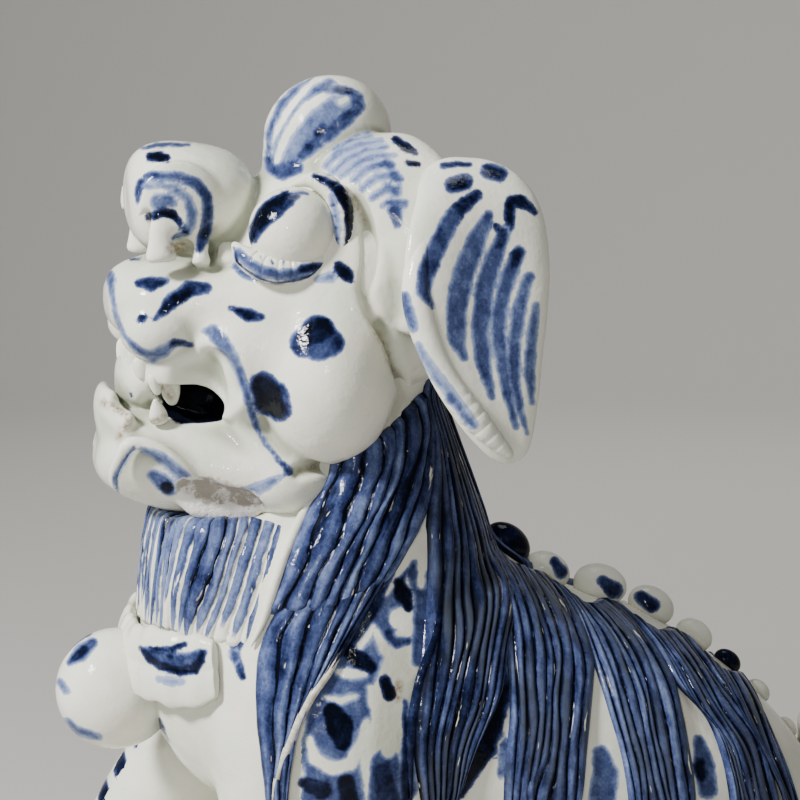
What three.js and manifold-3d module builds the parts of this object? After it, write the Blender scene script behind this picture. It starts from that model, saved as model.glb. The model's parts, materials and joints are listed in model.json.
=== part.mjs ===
// A seated guardian lion in blue and white glazed porcelain, on a low base.
// Millimetres, +Z up. The lion faces -Y and its left side is at +X. The origin is at the centre of the underside.
// The figure is fired in one piece, so every form below is joined into one solid.
import * as THREE from "three";
import { mergeVertices } from "three/addons/utils/BufferGeometryUtils.js";
import Module from "manifold-3d";

const wasm = await Module();
wasm.setup();

// Driving dimensions
const BASE = { length: 220, width: 116, height: 17, foot: 5, band: 2.5, corner: 9 };
const EYE_RADIUS = 9.5;
const BELL_RADIUS = 12.5;
const TOE_SWELL = 0.09; // how far the toes stand out, as a share of the paw
const BOSS = { wide: 4.2, long: 5.4, high: 4, places: [14.8, 24.4, 37.2, 49.7, 60.5, 69.5, 78, 86] };
const LOCK_THICK = 3; // half the thickness of a lock of the mane, which is pressed half into the body

const V = (p) => new THREE.Vector3(...p);

// A value read from evenly spaced stations, smoothly, at t from 0 to 1.
function station(values, t) {
  if (!Array.isArray(values)) return values;
  const at = t * (values.length - 1);
  const i = Math.min(Math.floor(at), values.length - 2);
  const f = at - i;
  const [a, b, c, d] = [i - 1, i, i + 1, i + 2].map((k) => values[Math.max(0, Math.min(values.length - 1, k))]);
  return b + 0.5 * f * (c - a + f * (2 * a - 5 * b + 4 * c - d + f * (3 * (b - c) + d - a)));
}

// A closed form along a smooth line: a sphere whose rings are moved onto the line and stretched.
// wide is measured square to the outward direction and thick along it. A higher blunt gives fuller ends.
function loft({ path, wide, thick, outward, blunt = 2, around = 12, along = 8, relief }) {
  const line = new THREE.CatmullRomCurve3(path.map(V), false, "centripetal");
  const geometry = new THREE.SphereGeometry(1, around, along);
  const place = geometry.attributes.position;
  for (let i = 0; i < place.count; i++) {
    const t = THREE.MathUtils.clamp((1 - place.getY(i)) / 2, 0, 1);
    const turn = Math.atan2(place.getX(i), place.getZ(i));
    const ring = Math.pow(Math.max(0, 1 - Math.pow(Math.abs(2 * t - 1), blunt)), 1 / blunt);
    const size = ring < 1e-4 ? 0 : ring;
    const centre = line.getPointAt(t);
    const ahead = line.getTangentAt(t);
    const facing = Array.isArray(outward[0])
      ? [0, 1, 2].map((k) => station(outward.map((direction) => direction[k]), t))
      : outward;
    const side = new THREE.Vector3().crossVectors(V(facing), ahead).normalize();
    const up = new THREE.Vector3().crossVectors(ahead, side);
    const swell = relief ? relief(turn) : 0;
    centre.addScaledVector(side, Math.sin(turn) * (station(wide, t) + swell) * size);
    centre.addScaledVector(up, Math.cos(turn) * (station(thick, t) + swell) * size);
    place.setXYZ(i, centre.x, centre.y, centre.z);
  }
  return geometry;
}

function ellipsoid(at, half, turned = [0, 0, 0], around = 12, along = 8) {
  const geometry = new THREE.SphereGeometry(1, around, along).rotateX(Math.PI / 2).scale(...half);
  geometry.rotateX(turned[0]).rotateY(turned[1]).rotateZ(turned[2]);
  return geometry.translate(...at);
}

// The same form on the lion's right side.
function mirrored(geometry) {
  const other = geometry.clone().scale(-1, 1, 1);
  const order = other.index.array;
  for (let i = 0; i < order.length; i += 3) [order[i + 1], order[i + 2]] = [order[i + 2], order[i + 1]];
  return other;
}

const both = (geometry) => [geometry, mirrored(geometry)];

function solid(geometry) {
  const bare = geometry.clone().deleteAttribute("normal").deleteAttribute("uv");
  const merged = mergeVertices(bare, 1e-3);
  return new wasm.Manifold(
    new wasm.Mesh({
      numProp: 3,
      vertProperties: merged.attributes.position.array,
      triVerts: new Uint32Array(merged.index.array),
    }),
  );
}

const joined = (geometries) => geometries.map(solid).reduce((all, one) => all.add(one));

function geometryOf(manifold) {
  const { vertProperties, triVerts } = manifold.getMesh();
  const geometry = new THREE.BufferGeometry();
  geometry.setAttribute("position", new THREE.BufferAttribute(vertProperties, 3));
  geometry.setIndex(new THREE.BufferAttribute(triVerts, 1));
  geometry.computeVertexNormals();
  return geometry;
}

// Torso, from the thick neck down the sloping back to the rump
const torso = loft({
  path: [[0, -28, 212], [0, -29, 172], [0, -24, 146], [0, 2, 127], [0, 30, 109], [0, 49, 86], [0, 54, 52], [0, 54, 12]],
  wide: [27, 34, 41, 45, 46, 46, 43, 38],
  thick: [28, 38, 42, 40.5, 43, 44, 38, 33],
  outward: [[0, 1, 0], [0, 1, 0.1], [0, 0.9, 0.5], [0, 0.6, 0.8], [0, 0.62, 0.78], [0, 0.8, 0.6], [0, 1, 0.1], [0, 1, 0]],
  blunt: 7,
  around: 20,
  along: 12,
});

const chest = ellipsoid([0, -42, 141], [32, 25, 27], [0, 0, 0], 12, 8);
const shoulder = ellipsoid([26, -29, 130], [20, 27, 33], [0.15, 0, 0], 11, 7);
const haunch = ellipsoid([32, 53, 66], [20, 36, 46], [0.25, 0, 0], 12, 7);

function leftForeleg() {
  return [
    loft({
      path: [[27, -37, 126], [28, -42, 92], [28, -42, 60], [28, -44, 34], [28, -48, 20]],
      wide: [15, 13, 11, 11, 13],
      thick: [18, 14.5, 11.5, 11.5, 13],
      outward: [0, -1, 0],
      blunt: 6,
      around: 10,
      along: 7,
    }),
    paw([28, -53, 25], [14, 19, 9.5]),
  ];
}

function rightForeleg() {
  return [
    loft({
      path: [[-25, -40, 132], [-24, -56, 112], [-24, -67, 96], [-24, -77, 72], [-25, -81, 46], [-26, -84, 20]],
      wide: [15, 13, 12, 10.5, 10.5, 13],
      thick: [16, 13, 12, 10.5, 10.5, 13],
      outward: [0, -1, -0.3],
      blunt: 6,
      around: 10,
      along: 8,
    }),
    paw([-26, -87, 25], [14, 18, 9.5]),
  ];
}

// A paw whose front edge swells into four toes
function paw(at, half) {
  const geometry = ellipsoid([0, 0, 0], [1, 1, 1], [0, 0, 0], 16, 5);
  const place = geometry.attributes.position;
  for (let i = 0; i < place.count; i++) {
    const turn = Math.atan2(place.getX(i), -place.getY(i));
    const swell = Math.abs(turn) > 0.55 * Math.PI ? 1 : 1 - TOE_SWELL * Math.cos(8 * turn);
    place.setXYZ(i, place.getX(i) * swell, place.getY(i) * swell, place.getZ(i));
  }
  return geometry.scale(...half).translate(...at);
}

function hindLegs() {
  const lower = loft({
    path: [[40, 50, 30], [41, 34, 26], [41, 12, 25]],
    wide: [13, 12, 12],
    thick: [16, 11, 9],
    outward: [0, 0, 1],
    blunt: 4,
    around: 8,
    along: 4,
  });
  return [lower, paw([41, 7, 25], [13, 18, 9])].flatMap(both);
}

// A plume that stands up against the rump
const tail = () =>
  loft({
    path: [[0, 87, 20], [0, 98, 42], [0, 99.5, 70], [0, 96, 98], [0, 88, 122]],
    wide: [13, 20, 20, 13, 6],
    thick: [8, 9, 9, 7, 4],
    outward: [0, 1, 0.1],
    around: 12,
    along: 6,
    relief: (turn) => 1.2 * Math.cos(6 * turn),
  });

// Where a straight line from outside first meets the body
function landing(from, heading) {
  const body = [torso, chest, shoulder, haunch].map((geometry) => new THREE.Mesh(geometry));
  const [first] = new THREE.Raycaster(V(from), V(heading)).intersectObjects(body);
  return first.point;
}

// A row of small oval bosses along the spine, set by hand and so a little uneven
const spine = () =>
  BOSS.places.map((y, i) => {
    const top = landing([0, y, 400], [0, 0, -1]);
    const behind = landing([0, y + 1, 400], [0, 0, -1]);
    const slope = Math.atan2(behind.z - top.z, 1);
    const size = 1 - (0.3 * i) / BOSS.places.length;
    const half = [BOSS.wide * size, BOSS.long * size, BOSS.high * size];
    return ellipsoid([0, y, top.z + 0.5], half, [slope, 0, 0], 6, 4);
  });

// The head and the broad muzzle
const skull = () => [
  ellipsoid([0, -22, 226], [33, 31, 28], [0, 0, 0], 12, 8),
  loft({
    path: [[0, -26, 224], [0, -46, 223], [0, -62, 222.5], [0, -74, 222.5]],
    wide: [30, 25, 20, 16.5],
    thick: [18, 12, 10.2, 9.5],
    outward: [0, 0, 1],
    blunt: 5,
    around: 14,
    along: 8,
  }),
];

const cheeks = () =>
  [
    ellipsoid([20, -30, 207], [18.8, 15, 18.5], [0, 0, 0], 12, 7),
    ellipsoid([19, -49, 211], [8.5, 9, 13], [-0.5, 0, 0], 8, 5),
    ellipsoid([12, -58, 212.5], [8.5, 9.5, 6.5], [0.3, 0, 0], 7, 5),
    ellipsoid([17, -38, 188], [11, 12, 8], [0, 0, 0], 8, 5),
  ].flatMap(both);

const lowerJaw = () =>
  loft({
    path: [[0, -28, 189], [0, -44, 188.5], [0, -57, 189], [0, -67, 191], [0, -76, 193.5]],
    wide: [25, 25, 22.5, 19.5, 15],
    thick: [11, 12, 12.4, 12, 11.5],
    outward: [0, 0, 1],
    blunt: 7,
    around: 14,
    along: 9,
  });

// What is cut away for the open mouth: a scoop in front and a lens at each side
const mouth = () => [
  ellipsoid([0, -63, 206], [14, 11, 8], [0.15, 0, 0], 10, 6),
  ...both(ellipsoid([21, -58.5, 204.6], [14, 9, 4.6], [-0.45, 0, 0], 8, 5)),
];

function teeth() {
  const tooth = ([x, y, z], length, width, points) => {
    const cone = new THREE.ConeGeometry(width, length, 4).rotateX(Math.PI / 2);
    if (points < 0) cone.rotateX(Math.PI);
    return cone.translate(x, y, z + (points * length) / 2);
  };
  const canines = [tooth([12.5, -66, 217], 12, 2.8, -1), tooth([14.5, -65.5, 196], 9, 2.6, 1)];
  const front = tooth([5, -69, 215.5], 9, 2.8, -1);
  return [...canines, front].flatMap(both);
}

const tongue = () => ellipsoid([0, -56, 200], [8, 13, 6.5], [0.1, 0, 0], 8, 5);

function nose() {
  const bun = ellipsoid([0, -55, 243], [17, 13.6, 12.6], [0.1, 0, 0], 10, 7);
  const scroll = ellipsoid([11.5, -59, 242.5], [8.5, 9.4, 11.5], [0, 0, -0.15], 8, 6);
  const foot = ellipsoid([13, -63.5, 233], [3.8, 4, 5.5], [0, 0, 0], 5, 4);
  return [bun, ...[scroll, foot].flatMap(both)];
}

const nostrils = () => both(ellipsoid([19.5, -60.5, 240.5], [3, 2.6, 2.8], [0, 0, 0], 5, 4));

function eyes() {
  const ball = ellipsoid([23.5, -37, 239.5], [EYE_RADIUS, EYE_RADIUS, EYE_RADIUS], [0, 0, 0], 10, 7);
  const lowerLid = loft({
    path: [[21, -48.5, 235], [25.5, -45.5, 231], [28.5, -41.5, 229.3], [29.8, -37, 229.3], [30.5, -31, 231.5]],
    wide: [2, 2.4, 2.6, 2.6, 2],
    thick: [3, 3.6, 3.6, 3.6, 3],
    outward: [0.7, -0.4, -0.4],
    blunt: 3,
    around: 5,
    along: 5,
  });
  const upperLid = loft({
    path: [[17, -39, 248.5], [23, -33, 249], [29, -28.5, 245], [32, -28, 239.8], [32.6, -29.5, 233]],
    wide: [2, 2.2, 2.2, 2],
    thick: [3, 3.4, 3.4, 3],
    outward: [0.7, 0.4, 0.6],
    blunt: 3,
    around: 5,
    along: 5,
  });
  return [ball, lowerLid, upperLid].flatMap(both);
}

// A brow that arches over each eye and tapers down in front of the ear
const brows = () =>
  both(
    loft({
      path: [[4, -21, 252], [15, -21, 251], [25, -16, 246], [30, -13, 238], [32, -15, 228], [33, -19, 219]],
      wide: [10, 11.5, 11, 8.5, 6, 4],
      thick: [7, 6, 6, 5, 4, 3],
      outward: [0.7, -0.2, 0.7],
      blunt: 3,
      around: 8,
      along: 6,
    }),
  );

const topknot = () => ellipsoid([0, -26, 256.5], [14, 14, 12.8], [0.35, 0, 0], 12, 7);

// A long hanging ear with a rolled rim along its front edge
function ears() {
  const leaf = loft({
    path: [[26, -3, 252], [36, -3, 242], [42, -5.5, 227], [44.5, -5, 216], [46, -2.5, 205], [47, 1.5, 192.5]],
    wide: [17, 16.5, 16.5, 14.5, 12, 9.5],
    thick: [5, 4.4, 3.6, 3.2, 3, 3],
    outward: [1, 0.12, 0.2],
    blunt: 2.5,
    around: 8,
    along: 7,
  });
  const rim = loft({
    path: [[33, -10, 247], [40.5, -16.5, 237], [44, -19, 226], [46, -16.5, 216], [47.5, -12, 207], [48.5, -6.5, 200], [49, -0.5, 195]],
    wide: 2.6,
    thick: 2.4,
    outward: [1, 0.12, 0.2],
    blunt: 3,
    around: 4,
    along: 6,
  });
  return [leaf, rim].flatMap(both);
}

// Locks of the mane: combed tongues laid on the body, given as [y, z] in the side view
const LOCKS = [
  { line: [[-21, 197], [-29, 180], [-36, 166]], wide: [7, 8.5, 8.5] },
  { line: [[-32, 167], [-38, 156], [-44, 144], [-48, 131], [-49, 121]], wide: [8.5, 9, 7, 4, 2] },
  { line: [[-7, 197], [-6, 183], [-6, 172], [-7, 158], [-10, 146], [-14, 133], [-17, 118]], wide: [6, 6, 6, 8, 9, 6.5, 3] },
  { line: [[11, 164], [10, 158], [10, 146], [10, 132], [8, 112]], wide: [7, 8, 8.5, 8, 4] },
  { line: [[25, 155], [28, 148], [32, 138], [33, 124], [32, 104]], wide: [7, 8, 8.5, 8, 4] },
  { line: [[44, 145], [50, 138], [55, 128], [58, 116], [56, 98]], wide: [6, 8, 8, 7.5, 4] },
  { line: [[60, 134], [66, 127], [71, 117], [73, 104], [71, 88]], wide: [5, 7, 7.5, 7, 4] },
];

const mane = () =>
  LOCKS.map(({ line, wide }) =>
    loft({
      path: line.map(([y, z]) => landing([100, y, z], [-1, 0, 0]).toArray()),
      wide,
      thick: LOCK_THICK,
      outward: [1, 0.15, 0.2],
      blunt: 3.5,
      around: 8,
      along: 5,
      relief: (turn) => 0.7 * Math.cos(4 * turn),
    }),
  ).flatMap(both);

const beard = () =>
  loft({
    path: [[0, -46, 183], [0, -54, 170], [0, -56, 157], [0, -54, 145]],
    wide: [26, 28, 25, 18],
    thick: [12, 12, 11, 9],
    outward: [0, -1, 0],
    blunt: 4,
    around: 20,
    along: 5,
    relief: (turn) => 0.6 * Math.cos(10 * turn),
  });

// A round bell at the breast, with a clay tab at each side
function bell() {
  const ball = ellipsoid([0, -74, 139], [BELL_RADIUS, BELL_RADIUS, BELL_RADIUS], [0, 0, 0], 11, 7);
  const tab = loft({
    path: [[2, -68, 148], [11, -67, 146.5], [20, -60, 146], [28, -53, 148.5]],
    wide: [6, 7.5, 7.5, 5],
    thick: 2.4,
    outward: [0.3, -1, 0],
    blunt: 4,
    around: 6,
    along: 5,
  });
  return [ball, ...both(tab)];
}

// The low base: two flat slabs with a narrow band set back between them
function base() {
  const outline = (inset) => {
    const [w, l, r] = [BASE.width / 2 - inset, BASE.length / 2 - inset, BASE.corner];
    const shape = new THREE.Shape();
    shape.moveTo(-w + r, -l);
    shape.lineTo(w - r, -l);
    shape.absarc(w - r, -l + r, r, -Math.PI / 2, 0);
    shape.absarc(w - r, l - r, r, 0, Math.PI / 2);
    shape.absarc(-w + r, l - r, r, Math.PI / 2, Math.PI);
    shape.absarc(-w + r, -l + r, r, Math.PI, 1.5 * Math.PI);
    return shape;
  };
  const slab = (inset, from, to) =>
    new THREE.ExtrudeGeometry(outline(inset), { depth: to - from, bevelEnabled: false, curveSegments: 2 })
      .translate(0, 0, from);
  return [
    slab(0, 0, BASE.foot),
    slab(BASE.band, BASE.foot - 1, BASE.height - BASE.foot + 1),
    slab(0, BASE.height - BASE.foot, BASE.height),
  ];
}

const figure = joined([
  torso,
  chest,
  ...[shoulder, haunch].flatMap(both),
  ...leftForeleg(),
  ...rightForeleg(),
  ...hindLegs(),
  tail(),
  ...spine(),
  ...skull(),
  ...cheeks(),
  lowerJaw(),
])
  .subtract(joined(mouth()))
  .add(joined([...teeth(), tongue(), ...nose(), ...eyes(), ...brows(), topknot(), ...ears()]))
  .subtract(joined(nostrils()))
  .add(joined([...mane(), beard(), ...bell(), ...base()]));

const glaze = new THREE.MeshStandardMaterial({ color: 0xdfe3e0, roughness: 0.12, metalness: 0 });
const lion = new THREE.Mesh(geometryOf(figure), glaze);
lion.name = "lion";

const part = new THREE.Group();
part.add(lion);
export default part;
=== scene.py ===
import json
import math

import bpy
import mathutils
import numpy as np
from mathutils.bvhtree import BVHTree
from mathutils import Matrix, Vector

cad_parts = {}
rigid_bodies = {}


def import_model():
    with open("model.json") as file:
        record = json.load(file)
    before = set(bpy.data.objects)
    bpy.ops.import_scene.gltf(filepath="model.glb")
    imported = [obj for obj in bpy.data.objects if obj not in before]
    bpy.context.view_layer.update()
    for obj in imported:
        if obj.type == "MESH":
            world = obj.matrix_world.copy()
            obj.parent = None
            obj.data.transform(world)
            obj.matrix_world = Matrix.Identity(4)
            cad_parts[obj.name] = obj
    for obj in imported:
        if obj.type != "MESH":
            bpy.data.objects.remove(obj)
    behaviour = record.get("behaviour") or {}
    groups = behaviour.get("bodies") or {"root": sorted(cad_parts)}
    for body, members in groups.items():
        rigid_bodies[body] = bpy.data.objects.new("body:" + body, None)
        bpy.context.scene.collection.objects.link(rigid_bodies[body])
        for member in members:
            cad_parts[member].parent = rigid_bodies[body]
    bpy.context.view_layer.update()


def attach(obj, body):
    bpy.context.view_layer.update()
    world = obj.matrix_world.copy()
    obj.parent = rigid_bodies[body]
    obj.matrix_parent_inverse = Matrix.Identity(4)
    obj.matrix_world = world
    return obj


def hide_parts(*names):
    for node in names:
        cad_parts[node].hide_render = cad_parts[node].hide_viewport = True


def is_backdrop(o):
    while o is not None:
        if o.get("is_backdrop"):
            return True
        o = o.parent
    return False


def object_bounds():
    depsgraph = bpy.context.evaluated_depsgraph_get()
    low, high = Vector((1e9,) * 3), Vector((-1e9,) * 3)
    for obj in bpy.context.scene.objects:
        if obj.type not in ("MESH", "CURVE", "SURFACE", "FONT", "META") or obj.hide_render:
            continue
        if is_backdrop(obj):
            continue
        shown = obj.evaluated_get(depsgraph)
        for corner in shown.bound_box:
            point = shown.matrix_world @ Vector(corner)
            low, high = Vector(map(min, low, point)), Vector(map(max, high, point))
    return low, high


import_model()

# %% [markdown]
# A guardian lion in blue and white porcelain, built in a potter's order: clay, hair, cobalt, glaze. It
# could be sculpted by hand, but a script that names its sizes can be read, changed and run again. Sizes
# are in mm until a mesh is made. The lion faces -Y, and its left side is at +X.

MM = 0.001

# %% [markdown]
# The camera comes first. It looks at the head and shoulders from the lion's left, a little from above. It
# could be placed by eye. It has an azimuth, an elevation and a distance instead, because the brush marks
# are later cast from this same place.

# %% The camera
VIEW_AZIMUTH = math.radians(76)
VIEW_ELEVATION = math.radians(8)
VIEW_DISTANCE = 430
VIEW_TARGET = np.array([0, -10, 199])
VIEW_WIDTH = 176
PICTURE = 800
back = np.array([
    math.sin(VIEW_AZIMUTH) * math.cos(VIEW_ELEVATION),
    -math.cos(VIEW_AZIMUTH) * math.cos(VIEW_ELEVATION),
    math.sin(VIEW_ELEVATION),
])
right = np.array([math.cos(VIEW_AZIMUTH), math.sin(VIEW_AZIMUTH), 0])
above = np.cross(back, right)
eye_point = VIEW_TARGET + back * VIEW_DISTANCE

camera = bpy.data.objects.new("camera", bpy.data.cameras.new("camera"))
bpy.context.collection.objects.link(camera)
camera.data.sensor_width = 36
camera.data.lens = 36 * VIEW_DISTANCE / VIEW_WIDTH
camera.data.clip_start = 0.01
camera.location = eye_point * MM
camera.rotation_mode = "QUATERNION"
camera.rotation_quaternion = mathutils.Vector(-back).to_track_quat("-Z", "Y")
bpy.context.scene.camera = camera
print("the camera stands", round(VIEW_DISTANCE), "mm from the target")

# %% [markdown]
# Forms and marks are easiest to find in the picture, where a lip or a spot has a place in px. Blender has
# tools for one such place, but a few lines of geometry work on many points at once.

# %% Between the picture and the model
def picture_place(points):
    """Where points in mm come out in the 800 px picture, and how many px a mm is there."""
    from_eye = points - eye_point
    depth = -(from_eye @ back)
    scale = PICTURE * VIEW_DISTANCE / VIEW_WIDTH / depth
    across = PICTURE / 2 + (from_eye @ right) * scale
    down = PICTURE / 2 - (from_eye @ above) * scale
    return across, down, scale


def line_of_sight(across, down):
    """The direction from the camera through a place in the picture, one mm deep."""
    step = VIEW_WIDTH / PICTURE / VIEW_DISTANCE
    return -back + (right * (across - PICTURE / 2) - above * (down - PICTURE / 2)) * step


def seen(across, down, x):
    """The point at a given x that shows at a place in the picture."""
    ray = line_of_sight(across, down)
    return (eye_point + (x - eye_point[0]) / ray[0] * ray).tolist()


print("the middle of the picture shows, at x = 0:", [round(v, 1) for v in seen(PICTURE / 2, PICTURE / 2, 0)])

# %% [markdown]
# A limb or a lock follows a line that bends softly. A Bezier curve could give it, but a line through the
# points themselves is easier to draw. Stations are sizes at even steps along such a line.

# %% Smooth lines
def smooth_line(points):
    """A smooth line through the points, as 40 short steps between each pair."""
    p = np.asarray(points, float)
    ends = np.vstack([2 * p[0] - p[1], p, 2 * p[-1] - p[-2]])
    rows = []
    for i in range(len(p) - 1):
        a, b, c, d = ends[i:i + 4]
        ab, bc, cd = (max(np.sum((u - v) ** 2) ** 0.25, 1e-4) for u, v in ((b, a), (c, b), (d, c)))
        leave = ((b - a) / ab - (c - a) / (ab + bc) + (c - b) / bc) * bc
        arrive = ((c - b) / bc - (d - b) / (bc + cd) + (d - c) / cd) * bc
        f = np.linspace(0, 1, 40, endpoint=False)[:, None]
        rows.append(
            b * (2 * f**3 - 3 * f**2 + 1) + c * (3 * f**2 - 2 * f**3)
            + leave * (f**3 - 2 * f**2 + f) + arrive * (f**3 - f**2)
        )
    return np.vstack([*rows, p[-1:]])


def evenly(line, t):
    """Points of a line at shares t of its length."""
    length = np.concatenate([[0], np.cumsum(np.linalg.norm(np.diff(line, axis=0), axis=1))])
    return np.stack([np.interp(t * length[-1], length, line[:, k]) for k in range(line.shape[1])], axis=-1)


def station(values, t):
    """Values given at evenly spaced stations, read smoothly at t."""
    v = np.asarray(values, float)
    if v.ndim == 0:
        return np.full(np.shape(t), float(v))
    at = np.clip(t, 0, 1) * (len(v) - 1)
    i = np.minimum(np.floor(at).astype(int), len(v) - 2)
    f = at - i
    a, b, c, d = (v[np.clip(i + k, 0, len(v) - 1)] for k in (-1, 0, 1, 2))
    if v.ndim == 2:
        f = f[..., None]
    return b + 0.5 * f * (c - a + f * (2 * a - 5 * b + 4 * c - d + f * (3 * (b - c) + d - a)))


def unit(v):
    return v / np.maximum(np.linalg.norm(v, axis=-1, keepdims=True), 1e-9)


test_line = smooth_line([[0, 0, 0], [10, 0, 0], [10, 10, 0]])
print("a line round a corner has", len(test_line), "points")

# %% [markdown]
# A rolled form needs faces between its rings, and a point to close each end. Blender can bridge one pair
# of loops at a time. Written out once, the pattern serves for lids, teeth, ears and base.

# %% Faces of a tube
def tube_faces(rings, around):
    """Faces of a tube of rings, closed by a point at each end, which are the last two vertices."""
    i, j = np.meshgrid(np.arange(rings - 1), np.arange(around), indexing="ij")
    k = (j + 1) % around
    quads = np.stack([i * around + j, i * around + k, (i + 1) * around + k, (i + 1) * around + j], axis=-1)
    j = np.arange(around)
    k = (j + 1) % around
    last = (rings - 1) * around
    first_cap = np.stack([k, j, np.full(around, rings * around)], axis=-1)
    last_cap = np.stack([last + j, last + k, np.full(around, rings * around + 1)], axis=-1)
    return [*quads.reshape(-1, 4).tolist(), *first_cap.tolist(), *last_cap.tolist()]


print("a tube of 3 rings of 8 points has", len(tube_faces(3, 8)), "faces")

# %% [markdown]
# Legs, neck, lids and teeth are rolled clay: rings of a width and a thickness along a line, a loft. A
# bevelled curve would give the mesh. This one can also say how far a point is from its surface, so that
# soft forms can be joined with a fillet, as a wet thumb joins clay.

# %% The loft
class Loft:
    """A closed form along a line. A higher blunt gives fuller ends."""

    STEPS = 96

    def __init__(self, path, wide, thick, outward, blunt=2.0):
        self.line = smooth_line(path)
        self.wide, self.thick, self.blunt = wide, thick, blunt
        self.outward = np.asarray(outward, float)
        t = np.linspace(0, 1, self.STEPS + 1)
        centre = evenly(self.line, t)
        reach = max(np.max(wide), np.max(thick))
        self.low, self.high = centre.min(axis=0) - reach, centre.max(axis=0) + reach
        self.length = np.sum(np.linalg.norm(np.diff(self.line, axis=0), axis=1))

    def stand(self, t):
        """The centre, the side, the up and the forward direction at t."""
        small = 1e-3
        centre = evenly(self.line, t)
        after = evenly(self.line, np.clip(t + small, 0, 1))
        before = evenly(self.line, np.clip(t - small, 0, 1))
        ahead = unit(after - before)
        facing = station(self.outward, t) if self.outward.ndim == 2 else self.outward
        side = unit(np.cross(np.broadcast_to(facing, ahead.shape), ahead))
        return centre, side, np.cross(ahead, side), ahead

    def distance(self, grid):
        t = np.linspace(0, 1, self.STEPS + 1)
        centre, side, up, ahead = (v.astype(np.float32) for v in self.stand(t))
        p = grid.reshape(-1, 3)
        nearest = np.empty(len(p), np.int32)
        for start in range(0, len(p), 200000):
            part = p[start:start + 200000]
            gap = np.sum(centre**2, axis=1) - 2 * part @ centre.T
            nearest[start:start + 200000] = np.argmin(gap, axis=1)
        offset = p - centre[nearest]
        along = np.einsum("ij,ij->i", offset, ahead[nearest])
        place = nearest / self.STEPS + along / self.length
        wide, thick = station(self.wide, place), station(self.thick, place)
        across = np.einsum("ij,ij->i", offset, side[nearest]) / wide
        height = np.einsum("ij,ij->i", offset, up[nearest]) / thick
        ring = np.maximum(np.hypot(across, height), 1e-5)
        slope = np.hypot(across / wide, height / thick) / ring
        end = np.maximum(np.abs(2 * place - 1), 1e-5)
        size = np.maximum((ring**self.blunt + end**self.blunt) ** (1 / self.blunt), 1e-5)
        steep_round = (ring / size) ** (self.blunt - 1) * slope
        steep_along = (end / size) ** (self.blunt - 1) * 2 / self.length
        steep = np.hypot(steep_round, steep_along)
        return ((size - 1) / np.maximum(steep, 1e-4)).reshape(grid.shape[:-1])

    def mesh(self, around, along, relief=None):
        """Vertices and faces. A relief says how far out each turn and place along the line lies."""
        rings = 0.5 - 0.5 * np.cos(np.linspace(0, np.pi, along + 1))[1:-1]
        turn = np.linspace(0, 2 * np.pi, around, endpoint=False)
        t, turn = np.meshgrid(rings, turn, indexing="ij")
        centre, side, up, _ = self.stand(t[:, 0])
        size = (1 - np.abs(2 * t - 1) ** self.blunt) ** (1 / self.blunt)
        swell = relief(turn, t) if relief else np.zeros_like(t)
        wide = (station(self.wide, t) + swell) * size * np.sin(turn)
        thick = (station(self.thick, t) + swell) * size * np.cos(turn)
        body = centre[:, None] + side[:, None] * wide[..., None] + up[:, None] * thick[..., None]
        vertices = np.vstack([body.reshape(-1, 3), evenly(self.line, np.array([0.0, 1.0]))])
        return vertices, tube_faces(len(rings), around)


test_loft = Loft([[0, 0, 0], [0, 0, 40]], [5, 5], [5, 5], [0, -1, 0])
print("a straight roll of", round(test_loft.length), "mm has", len(test_loft.mesh(12, 10)[0]), "points")

# %% [markdown]
# Cheeks, eyes, paws and the bell are balls of clay, pressed and turned. A sphere of Blender would do, but
# this ball can give its distance, as the loft can. Most forms are alike on both sides, so a form on the
# left is also read as in a mirror.

# %% Balls, and the same form on the other side
class Ball:
    """A ball stretched to three half sizes and turned, with angles in radians."""

    def __init__(self, at, half, turned=(0, 0, 0)):
        self.at, self.half = np.array(at, float), np.array(half, float)
        self.turn = np.array(mathutils.Euler(turned, "XYZ").to_matrix())
        reach = np.max(self.half)
        self.low, self.high = self.at - reach, self.at + reach

    def distance(self, grid):
        q = ((grid - self.at) @ self.turn) / self.half
        ring = np.linalg.norm(q, axis=-1)
        return ring * (ring - 1) / np.maximum(np.linalg.norm(q / self.half, axis=-1), 1e-6)

    def mesh(self, around, along):
        rings = np.linspace(0, np.pi, along + 1)[1:-1]
        turn = np.linspace(0, 2 * np.pi, around, endpoint=False)
        fall, turn = np.meshgrid(rings, turn, indexing="ij")
        shell = np.stack([np.sin(fall) * np.cos(turn), np.sin(fall) * np.sin(turn), np.cos(fall)], axis=-1)
        shell = np.vstack([shell.reshape(-1, 3), [[0, 0, 1], [0, 0, -1]]])
        faces = [face[::-1] for face in tube_faces(len(rings), around)]
        return (shell * self.half) @ self.turn.T + self.at, faces


class Mirrored:
    """The same form on the lion's right side."""

    def __init__(self, form):
        self.form = form
        flip = np.array([-1, 1, 1])
        self.low = np.minimum(form.low * flip, form.high * flip)
        self.high = np.maximum(form.low * flip, form.high * flip)

    def distance(self, grid):
        return self.form.distance(grid * np.array([-1, 1, 1], grid.dtype))


def both(form):
    return [form, Mirrored(form)]


test_ball = Ball([0, 0, 0], [10, 10, 20])
print("a point 15 mm off is outside a ball of 10 mm by", test_ball.distance(np.array([15.0, 0, 0])), "mm")

# %% [markdown]
# The clay is a block of numbers, each the distance to the surface, less than zero inside. Adding a form
# keeps the nearer distance, with a soft fillet. Metaballs or booleans could do it, but the first lose
# their shape and the second leave hard edges.

# %% The block of clay
FAR = 30.0


def soft_min(a, b, blend):
    h = np.clip(0.5 + 0.5 * (a - b) / blend, 0, 1)
    return a + (b - a) * h - blend * h * (1 - h)


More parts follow.
